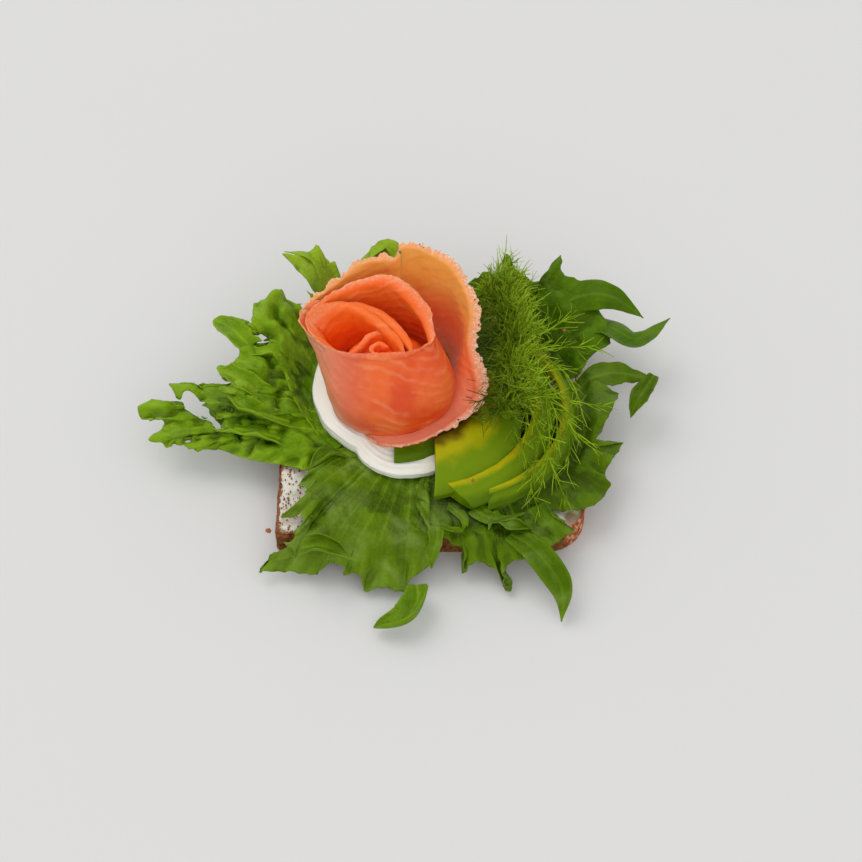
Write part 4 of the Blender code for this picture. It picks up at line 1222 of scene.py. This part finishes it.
def petal_sheet(stations, torn, deep, pale, seed):
    """A slice of salmon stood on its edge.

    torn is how far its rim is torn. deep is 1 where both of its faces lie inside the rose, and pale is how
    pale its rim is painted, partly as dried flesh and partly as painted light through the thin rim.
    """
    # a smooth curve through the stations, and the directions out of the rose and up
    span = len(stations) - 1
    steps = np.linspace(1, 0, STEPS_PER_STATION * span + 1)
    u, v = np.meshgrid(steps, np.linspace(0, 1, PETAL_ROWS), indexing="ij")
    foot_x, foot_y, rim_x, rim_y, rim_z, belly, roll, degrees = np.moveaxis(curve_through(stations, u), -1, 0)
    strip = unit(np.gradient(np.stack([foot_x + rim_x, foot_y + rim_y], axis=-1), axis=0))
    outward = np.stack([strip[..., 1], -strip[..., 0], 0 * u], axis=-1)
    upward = np.array([0.0, 0.0, 1.0])

    # the flared and bellied wall, and the rolled rim on top of it, with the step between them smoothed
    full_turn = np.radians(degrees)
    radius = np.clip(abs(roll), 0.2, None) / (1 - np.cos(full_turn))
    rise = radius * np.sin(np.minimum(full_turn, np.pi / 2))
    foot = np.stack([foot_x, foot_y, 0 * u + ROSE_FOOT], axis=-1)
    top = np.stack([rim_x, rim_y, rim_z - rise], axis=-1) - outward * roll[..., None]
    wall = np.minimum(v / WALL_SHARE, 1.0)
    flared = wall + FLARE * (wall**3 - wall)
    points = foot + (top - foot) * np.stack([flared, flared, wall], axis=-1)
    points += outward * (belly * np.sin(np.pi * wall))[..., None]
    turn = full_turn * np.clip((v - WALL_SHARE) / (1 - WALL_SHARE), 0.0, 1.0)
    across = np.clip(roll / 0.2, -1, 1) * radius * (1 - np.cos(turn))
    points += outward * across[..., None] + upward * (radius * np.sin(turn))[..., None]
    for _ in range(ROLL_ROUNDS):
        points[:, 1:-1] = (points[:, :-2] + 2 * points[:, 1:-1] + points[:, 2:]) / 4

    # the torn rim, then the creases
    run = arc_length(np.stack([rim_x, rim_y, rim_z], axis=-1))
    spot = np.stack([run, 0 * u + seed, 0 * u], axis=-1)
    tear = torn * sum(depth * lumps(spot, size, seed) for depth, size in TEARS)
    ahead = outward * np.sin(turn)[..., None] + upward * np.cos(turn)[..., None]
    points += ahead * (tear * smoothstep(v, 0.75, 1.0))[..., None]
    creased = sum(depth * lumps(points, size, seed) for depth, size in CREASES)
    points += outward * creased[..., None]

    # the slice thins out towards its rim and its ends
    ends = np.minimum(u, 1 - u) * span
    thin = smoothstep(1 - v, 0.0, 0.25) * smoothstep(ends, 0.0, 0.5)
    height = arc_length(np.swapaxes(points, 0, 1)).T
    edge = smoothstep(v, 0.72, 1.0) * np.clip(pale + (roll - 1) / 20, 0, 1)
    thick = SALMON_THICK * (0.3 + 0.7 * thin)
    return Sheet(points, np.stack([run, height], axis=-1), deep + 0 * u, edge, thick)


print("slices are", SALMON_THICK, "mm thick")

# %% Make the petals
# how far each rim is torn, in millimetres, whether both faces lie inside, and how pale the rim is
# painted, partly as dried flesh and partly as painted light through its thin edge
RIMS = {
    "salmon_outer": (1.3, 0.0, 0.9),
    "salmon_wrap": (0.5, 0.0, 0.3),
    "salmon_fold_outer": (0.2, 1.0, 0.0),
    "salmon_fold_inner": (0.2, 1.0, 0.0),
    "salmon_core": (0.2, 1.0, 0.15),
}
# the rolled flesh that fills the bud under its folds
HEART_MIDDLE = (-14.0, -1.0)
HEART_HALVES = (15.0, 12.0)
HEART_TOP = 42.5
HEART_ROUND = 0.4
HEART_AROUND = 120
HEART_LEVELS = 40

petal_sheets = {}
for seed, (name, stations) in enumerate(PETALS.items()):
    petal_sheets[name] = petal_sheet(stations, *RIMS[name], seed + 1)
    flesh = thin_salmon if name == "salmon_outer" else salmon
    dress(closed_sheets(name + "_slice", [petal_sheets[name]], flesh), "salmon", name)

angle = np.linspace(0, 2 * math.pi, HEART_AROUND, endpoint=False)
around, level = np.meshgrid(angle, np.linspace(-1.5, 1.5, HEART_LEVELS))
heart_x = HEART_MIDDLE[0] + HEART_HALVES[0] * np.cos(around) * np.cos(level) ** HEART_ROUND
heart_y = HEART_MIDDLE[1] + HEART_HALVES[1] * np.sin(around) * np.cos(level) ** HEART_ROUND
heart_z = (HEART_TOP + ROSE_FOOT) / 2 + (HEART_TOP - ROSE_FOOT) / 2 * np.sin(level)
heart = np.stack([heart_x, heart_y, heart_z], axis=-1)
heart[..., 2] += 0.8 * lumps(heart, 5, 8) * (level > 0)
dress(ring_body("salmon_heart", heart, salmon, "vein", 1 + 0 * around), "salmon")

# %% [markdown]
# ## Growing with Geometry Nodes
#
# Dill fronds, crumbs and flakes repeat one small shape many times. A node group is built here for each, with
# named inputs. `grow` runs a group on a mesh, then keeps the result as a plain mesh, so that nothing stays
# live.

# %% Node groups
def start_group(name, inputs):
    """A geometry node group that takes a mesh and the named inputs, each with its socket type and value."""
    tree = bpy.data.node_groups.new(name, "GeometryNodeTree")
    tree.interface.new_socket("Mesh", in_out="INPUT", socket_type="NodeSocketGeometry")
    tree.interface.new_socket("Mesh", in_out="OUTPUT", socket_type="NodeSocketGeometry")
    for label, (kind, value) in inputs.items():
        socket = tree.interface.new_socket(label, in_out="INPUT", socket_type="NodeSocket" + kind)
        if value is not None:
            socket.default_value = value
    return tree, tree.nodes.new("NodeGroupInput").outputs


def finish_group(tree, geometry, material):
    """Makes the instances real, because the export drops them, and gives them their material."""
    real = add_node(tree, "GeometryNodeRealizeInstances", {0: geometry})
    dressed = add_node(tree, "GeometryNodeSetMaterial", {0: real, "Material": material})
    add_node(tree, "NodeGroupOutput", {0: dressed})


def grow(name, source, tree, settings):
    """Runs a node group on a mesh and returns a new object that holds the result as a plain mesh."""
    holder = bpy.data.objects.new(name + "_source", source)
    bpy.context.scene.collection.objects.link(holder)
    modifier = holder.modifiers.new("grow", "NODES")
    modifier.node_group = tree
    for item in tree.interface.items_tree:
        if item.in_out == "INPUT" and item.name in settings:
            modifier[item.identifier] = settings[item.name]
    bpy.context.view_layer.update()
    mesh = bpy.data.meshes.new_from_object(holder.evaluated_get(bpy.context.evaluated_depsgraph_get()))
    bpy.data.objects.remove(holder)
    mesh.name = name
    mesh.shade_smooth()
    piece = bpy.data.objects.new(name, mesh)
    bpy.context.scene.collection.objects.link(piece)
    return piece


print("a group takes a mesh, named inputs and a material")

# %% [markdown]
# ## Dill
#
# A dill frond is a thin stem with side branches all round it, and every branch ends in a bunch of soft
# threads, less than half a millimetre wide. The group grows the branches from the stems, then threads from
# the branches. Both lean forward, turn round the stem from one to the next, and shorten towards its end.

# %% Frond group
# each branch is turned on from the last by the angle that spreads leaves round a stem most evenly
LEAF_TURN = math.radians(137.5)


def frond_group():
    """The group that grows a frond along each line of a mesh."""
    tree, given = start_group(
        "dill frond",
        {
            "Thread": ("Object", None),
            "Branch spacing": ("Float", 1.5 * MM),
            "Branch length": ("Float", 7.0 * MM),
            "Thread spacing": ("Float", 0.85 * MM),
            "Thread size": ("Float", 1.3),
            "Stem radius": ("Float", 0.33 * MM),
            "Spread": ("Float", math.radians(44)),
            "Seed": ("Int", 1),
            "Material": ("Material", None),
        },
    )
    add = partial(add_node, tree)

    def outgrowth(line, template, spacing, length, seed_step):
        """Instances of a template along a line, each turned on round it and leaning away from it."""
        points = add("GeometryNodeResampleCurve", {0: line, "Length": spacing}, mode="LENGTH")
        draws = []
        # for its turn, its lean and its size
        for low, high, step in ((-0.7, 0.7, 0), (0.55, 1.25, 7), (0.55, 1.1, 13)):
            seed = add("ShaderNodeMath", {0: given["Seed"], 1: float(seed_step + step)}, operation="ADD")
            draw = {2: low, 3: high, "Seed": seed}
            draws.append(add("FunctionNodeRandomValue", draw, 1, data_type="FLOAT"))
        index = add("GeometryNodeInputIndex")
        turn = add("ShaderNodeMath", {0: index, 1: LEAF_TURN, 2: draws[0]}, operation="MULTIPLY_ADD")
        lean = add("ShaderNodeMath", {0: given["Spread"], 1: draws[1]}, operation="MULTIPLY")
        tangent = add("GeometryNodeInputTangent")
        aimed = add("FunctionNodeAlignRotationToVector", {"Vector": tangent}, axis="Z")
        for part in ({2: turn}, {0: lean}):
            bend = add("FunctionNodeEulerToRotation", {0: add("ShaderNodeCombineXYZ", part)})
            aimed = add("FunctionNodeRotateRotation", {0: aimed, 1: bend}, rotation_space="LOCAL")
        factor = add("GeometryNodeSplineParameter", output="Factor")
        fade = add("ShaderNodeMapRange", {0: factor, 3: 1.0, 4: 0.45})
        size = add("ShaderNodeMath", {0: fade, 1: draws[2]}, operation="MULTIPLY")
        size = add("ShaderNodeMath", {0: size, 1: length}, operation="MULTIPLY")
        inputs = {0: points, "Instance": template, "Rotation": aimed, "Scale": size}
        return add("GeometryNodeInstanceOnPoints", inputs)

    def tube(line, radius):
        """A three-sided tube along a line, thinner towards its end."""
        factor = add("GeometryNodeSplineParameter", output="Factor")
        thin = add("ShaderNodeMapRange", {0: factor, 3: 1.0, 4: 0.4})
        thin = add("ShaderNodeMath", {0: thin, 1: radius}, operation="MULTIPLY")
        ring = add("GeometryNodeCurvePrimitiveCircle", {"Resolution": 3, "Radius": 1.0})
        inputs = {"Curve": line, "Profile Curve": ring, "Scale": thin, "Fill Caps": True}
        return add("GeometryNodeCurveToMesh", inputs)

    stems = add("GeometryNodeMeshToCurve", {0: given["Mesh"]})
    bend = {"Resolution": 4, "Start": (0, 0, 0), "Middle": (0, 0.16, 0.5), "End": (0, 0.05, 1)}
    branch = add("GeometryNodeCurveQuadraticBezier", bend)
    branches = outgrowth(stems, branch, given["Branch spacing"], given["Branch length"], 1)
    branches = add("GeometryNodeRealizeInstances", {0: branches})
    thread = add("GeometryNodeObjectInfo", {"Object": given["Thread"]}, "Geometry")
    thin = add("ShaderNodeMath", {0: given["Stem radius"], 1: 0.5}, operation="MULTIPLY")
    threads = outgrowth(branches, thread, given["Thread spacing"], given["Thread size"], 31)
    joined = add("GeometryNodeJoinGeometry", {0: threads})
    for part in (tube(stems, given["Stem radius"]), tube(branches, thin)):
        tree.links.new(part, joined.node.inputs[0])
    finish_group(tree, joined, given["Material"])
    return tree


# %% One thread
# its length, its radius at the foot and how far its tip bends, in millimetres
THREAD_LENGTH = 5.6
THREAD_RADIUS = 0.18
THREAD_BEND = 0.7
THREAD_RINGS = 5
LAST_RING = 3 * (THREAD_RINGS - 1)


def thread_object():
    """One thread of dill: a thin three-sided tube that bends and narrows."""
    share = np.linspace(0, 1, THREAD_RINGS)
    radius = THREAD_RADIUS * (1 - 0.5 * share[:, None])
    angles = np.arange(3) * 2 * math.pi / 3
    x = radius * np.cos(angles)
    y = radius * np.sin(angles) + THREAD_BEND * share[:, None] ** 2
    z = THREAD_LENGTH * share[:, None] + 0 * angles
    rings = np.stack([x, y, z], axis=-1)
    faces = []
    for low in range(0, LAST_RING, 3):
        for i, ahead in ((0, 1), (1, 2), (2, 0)):
            faces.append([low + i, low + ahead, low + 3 + ahead, low + 3 + i])
    faces += [[2, 1, 0], [LAST_RING, LAST_RING + 1, LAST_RING + 2]]
    mesh = bpy.data.meshes.new("dill_thread")
    mesh.from_pydata((rings.reshape(-1, 3) * MM).tolist(), [], faces)
    tip = mesh.attributes.new("tip", "FLOAT", "POINT")
    tip.data.foreach_set("value", np.repeat(share, 3))
    return bpy.data.objects.new("dill_thread", mesh)


print("threads are", THREAD_LENGTH, "mm long")

# %% Dill material
def fresh_dill(add, place):
    """Soft green threads, with painted shade deep in the bunch by the rose, and brighter at their tips."""
    tone = add("ShaderNodeTexNoise", {0: place, "Scale": per_mm(7)})
    tip = add("ShaderNodeAttribute", output="Fac", attribute_name="tip")
    sideways = add("ShaderNodeSeparateXYZ", {0: place}, "X")
    by_rose = add("ShaderNodeMapRange", {0: sideways, 1: 0.034, 2: 0.014, 4: 0.85})
    backwards = add("ShaderNodeSeparateXYZ", {0: place}, "Y")
    in_bunch = add("ShaderNodeMapRange", {0: backwards, 1: 0.042, 2: 0.024})
    shaded = add("ShaderNodeMath", {0: by_rose, 1: in_bunch}, operation="MULTIPLY")
    layers = [
        (tone, 0.35, 0.65, 1.0, "#98ba16", "SMOOTHSTEP"),
        (tip, 0.0, 1.0, 0.6, "#b2d236", "LINEAR"),
        # painted shade: threads beside the rose and deep in the bunch are darkened
        (shaded, 0.0, 1.0, 1.0, "#1c3006", "LINEAR"),
    ]
    return {
        "Base Color": lay_tones(add, "#648204", layers),
        "Roughness": 0.5,
        "Specular IOR Level": 0.2,
        "Specular Tint": "#e6f0b4",
        "Subsurface Weight": 0.2,
        "Subsurface Radius": (0.6, 1.0, 0.03),
        "Subsurface Scale": 0.5 * MM,
    }


dill = make_material("fresh_dill", fresh_dill)
print("dill has", len(dill.node_tree.nodes), "nodes")

# %% [markdown]
# The tuft is a bunch of short stems that fan out from a spine over a small core: a body put in for the
# shade deep in the bunch, which the dill's painted shade makes dark. The longer fronds trail from it over
# the avocado and the lettuce, along the paths in the table.

# %% Stems of the dill
TUFT_STEMS = 84
STEM_POINTS = 12
# the tuft's stems point from one side of the spine to the other, in degrees from upright, and each is turned
# on from the last by this share of that range, which spreads them evenly
FIRST_SIDE = -105
SIDE_RANGE = 185
EVEN_SHARE = 0.618
STEM_REACH = 10.5
DILL_SPINE = [(21, 42, 27), (24, 30, 29), (26, 14, 30), (26, -2, 29), (24, -13, 26)]
FRONDS = [
    [(22, -4, 30), (25, -14, 28), (29, -25, 24), (33, -33, 21)],
    [(36, -2, 28), (38, -13, 26), (38, -26, 22), (35, -37, 18)],
    [(38, -5, 27), (43, -12, 24), (49, -19, 20), (55, -22, 17)],
    [(36, 2, 29), (42, -8, 26), (45, -18, 21), (44, -30, 17)],
    [(24, -8, 30), (31, -9, 30), (40, -8, 28), (56, -6, 21)],
    [(30, -4, 30), (33, -15, 27), (37, -26, 23), (43, -40, 16)],
    [(36, 18, 29), (42, 24, 27), (47, 30, 25), (50, 36, 22)],
    [(38, 12, 28), (44, 16, 25), (50, 18, 23), (55, 20, 21)],
    [(35, -20, 24), (34, -28, 21), (32, -36, 19), (34, -43, 16)],
    [(28, -2, 30), (30, -10, 29), (31, -18, 26), (29, -28, 22)],
    [(33, 0, 30), (38, -7, 28), (41, -15, 24), (40, -24, 20)],
    [(36, 8, 30), (43, 4, 28), (48, -3, 24), (50, -12, 19)],
]


def tuft_stems(count):
    """Short stems that leave the spine upwards and to both sides, and droop at their ends."""
    share = (np.arange(count) + 0.5) / count
    base = curve_through(DILL_SPINE, share)
    along = unit(np.gradient(base, axis=0))
    around = np.radians(FIRST_SIDE + SIDE_RANGE * ((np.arange(count) * EVEN_SHARE) % 1))
    side = unit(np.cross(along, (0.0, 0.0, 1.0)))
    above = np.cross(side, along)
    lean = 0.7 * np.sin(np.arange(count) * 2.4)
    aim = unit(side * np.sin(around)[:, None] + above * np.cos(around)[:, None] * 0.8 + along * lean[:, None])
    reach = STEM_REACH + 3.0 * np.sin(np.arange(count) * 1.7) - 3.0 * np.maximum(np.sin(around), 0)
    stems = []
    for start, direction, length in zip(base, aim, reach):
        end = start + direction * length
        middle = (start + end) / 2 + (0, 0, 2.0)
        stems.append([start - (0, 0, 2), (start + middle) / 2, middle, end])
    return stems


def stem_lines(stems, points):
    """A mesh of open lines, one along each stem."""
    lines = [curve_through(stem, np.linspace(0, 1, points)) for stem in stems]
    edges = [(k * points + i, k * points + i + 1) for k in range(len(lines)) for i in range(points - 1)]
    mesh = bpy.data.meshes.new("dill_stems")
    mesh.from_pydata((np.concatenate(lines) * MM).tolist(), edges, [])
    return mesh


print(TUFT_STEMS, "short stems and", len(FRONDS), "long ones")

# %% Grow the dill
# the tuft stands for the solid of the whole bundle; the trailing fronds are sparser and longer
BUNCHES = {
    "dill_tuft": {"Seed": 3, "Branch length": 6.0 * MM, "Stem radius": 0.26 * MM},
    "dill_fronds": {
        "Seed": 5,
        "Branch length": 8.0 * MM,
        "Branch spacing": 3.0 * MM,
        "Thread spacing": 2.2 * MM,
        "Thread size": 1.5,
        "Spread": math.radians(38),
    },
}
STANDS_FOR = {"dill_tuft": ["dill"], "dill_fronds": []}
# the core's half width and half height, and how far it lies below the spine
CORE_WIDE = 4.5
CORE_HIGH = 3.4
CORE_SINK = 2.0

frond = frond_group()
thread = thread_object()
for name, stems in (("dill_tuft", tuft_stems(TUFT_STEMS)), ("dill_fronds", FRONDS)):
    settings = BUNCHES[name] | {"Thread": thread, "Material": dill}
    dress(grow(name, stem_lines(stems, STEM_POINTS), frond, settings), "dill", *STANDS_FOR[name])

# the core stands for the shade in the middle of the tuft; the dill's painted shade makes it dark
core_ball = bmesh.new()
bmesh.ops.create_icosphere(core_ball, subdivisions=5, radius=1.0)
for vertex in core_ball.verts:
    lump = 1 + 0.35 * noise.noise(vertex.co * 4)
    spine = curve_through(DILL_SPINE, np.array([(1 - vertex.co.y) / 2]))[0]
    aside = CORE_WIDE * lump * vertex.co.x
    above = CORE_HIGH * lump * vertex.co.z - CORE_SINK
    vertex.co = Vector((spine[0] + aside, spine[1], spine[2] + above)) * MM
core_mesh = bpy.data.meshes.new("dill_core")
core_ball.to_mesh(core_mesh)
core_ball.free()
core_mesh.shade_smooth()
dress(new_object("dill_core", core_mesh, dill), "dill")

# %% [markdown]
# ## Crumbs, seeds, salt and pepper
#
# Small things lie scattered where they fell: crumbs and black seeds on the spread, salt flakes and pepper on
# the salmon's rim, and a few specks on the avocado. Each kind is one small grain, instanced on chosen points
# with a random turn and size. The points are drawn with a fixed seed from the surface that the grains lie
# on.

# %% Scatter group
FULL_TURN = 6.28
GRAIN_CUTS = 1


def scatter_group():
    """The group that puts a grain on each point of a mesh, at a random turn and size."""
    sizes = {"Smallest": ("Float", 0.4), "Largest": ("Float", 0.9)}
    inputs = {"Grain": ("Object", None), **sizes, "Seed": ("Int", 1), "Material": ("Material", None)}
    tree, given = start_group("scatter", inputs)
    add = partial(add_node, tree)
    draw = {0: (0, 0, 0), 1: (FULL_TURN, FULL_TURN, FULL_TURN), "Seed": given["Seed"]}
    turn = add("FunctionNodeRandomValue", draw, data_type="FLOAT_VECTOR")
    turn = add("FunctionNodeEulerToRotation", {0: turn})
    draw = {2: given["Smallest"], 3: given["Largest"], "Seed": given["Seed"]}
    size = add("FunctionNodeRandomValue", draw, 1, data_type="FLOAT")
    grain = add("GeometryNodeObjectInfo", {"Object": given["Grain"]}, "Geometry")
    inputs = {0: given["Mesh"], "Instance": grain, "Rotation": turn, "Scale": size}
    finish_group(tree, add("GeometryNodeInstanceOnPoints", inputs), given["Material"])
    return tree


def grain_object(name, shape, seed):
    """A rough grain, about a millimetre long when shape is (1, 1, 1)."""
    ball = bmesh.new()
    bmesh.ops.create_icosphere(ball, subdivisions=GRAIN_CUTS, radius=0.5)
    for vertex in ball.verts:
        vertex.co *= 1 + 0.5 * noise.noise(vertex.co * 3 + Vector((seed, 0, 0)))
        vertex.co = Vector(a * b for a, b in zip(vertex.co, shape)) * MM
    mesh = bpy.data.meshes.new(name)
    ball.to_mesh(mesh)
    ball.free()
    return bpy.data.objects.new(name, mesh)


def draw_spots(points, chance, count, seed):
    """A mesh of loose points, drawn from these with these chances."""
    rng = np.random.default_rng(seed)
    flat = points.reshape(-1, 3)
    weight = np.broadcast_to(chance, points.shape[:-1]).ravel()
    chosen = flat[rng.choice(len(flat), count, replace=False, p=weight / weight.sum())]
    mesh = bpy.data.meshes.new("spots")
    mesh.from_pydata((chosen * MM).tolist(), [], [])
    return mesh


def dry_grain(add, place, dark, light, roughness):
    """Dry grains: two tones in patches of half a millimetre."""
    tone = add("ShaderNodeTexNoise", {0: place, "Scale": per_mm(0.5)})
    colour = add("ShaderNodeMix", {0: tone, 6: dark, 7: light}, 2, data_type="RGBA")
    return {"Base Color": colour, "Roughness": roughness, "Specular IOR Level": 0.3}


print("grains have", 20 * 4 ** (GRAIN_CUTS - 1), "faces each")

# %% Where the grains lie
# the spread's top; crumbs lie mostly near its left and front edges, where no leaf covers it
LIFT = np.array((0, 0, 0.3))
# the part of the outer petal that holds its salt and pepper: steps along it, and rows in from its rim
RIM_STEPS = slice(60, 200)
RIM_ROWS = 7
top = coat[coat[..., 2] > SPREAD_TOP - 1.0]
from_side = BREAD_HALF - np.max(abs(top[:, :2]), axis=-1)
bare_part = np.where((top[:, 0] < -30) & (top[:, 1] < -10), 1.0, 0.05)
near_side = (0.15 + np.exp(-np.maximum(from_side, 0) / 3.0)) * (from_side > 0.6) * bare_part
crumb_spots = top + LIFT
petal_rim = petal_sheets["salmon_outer"].points[RIM_STEPS, -RIM_ROWS:].reshape(-1, 3) + LIFT
# three loose crumbs: at the bread's left edge, on the leaf at the back right and on the avocado
LONE = np.array([[-52.0, -49.0, 11.0], [44.5, 21.0, 28.0], [13.5, -35.5, 19.6]])
print(len(top), "points of the spread and", len(petal_rim), "of the rim to draw from")

# %% Scatter the grains
# dark tone, light tone and roughness
CRUMB = ("#8a4a26", "#b4764a", 0.9)
SEED = ("#15130f", "#34302a", 0.5)
SALT = ("#ffd8c2", "#fff0e4", 0.35)
# kind: slot, shape, points to draw from and their chances, how many, smallest and largest, finish
KINDS = {
    "rye_crumbs": ("spread", (1.0, 0.8, 0.7), crumb_spots, near_side, 900, 0.35, 1.0, CRUMB),
    "loose_crumbs": ("rye", (1.0, 0.9, 0.8), LONE, 1.0, len(LONE), 1.2, 2.2, CRUMB),
    "black_seeds": ("spread", (1.5, 0.8, 0.7), crumb_spots, near_side, 14, 0.8, 1.2, SEED),
    "salt_flakes": ("salmon", (1.0, 0.9, 0.4), petal_rim, 1.0, 200, 0.3, 0.7, SALT),
    "pepper_grains": ("salmon", (1.0, 0.8, 0.8), petal_rim, 1.0, 6, 0.4, 0.7, SEED),
}
scatter = scatter_group()
for seed, (name, (slot, shape, points, chance, count, small, large, finish)) in enumerate(KINDS.items()):
    settings = {"Grain": grain_object(name + "_grain", shape, seed), "Smallest": small, "Largest": large}
    settings |= {"Seed": seed + 1, "Material": make_material(name, dry_grain, *finish)}
    dress(grow(name, draw_spots(points, chance, count, seed), scatter, settings), slot)
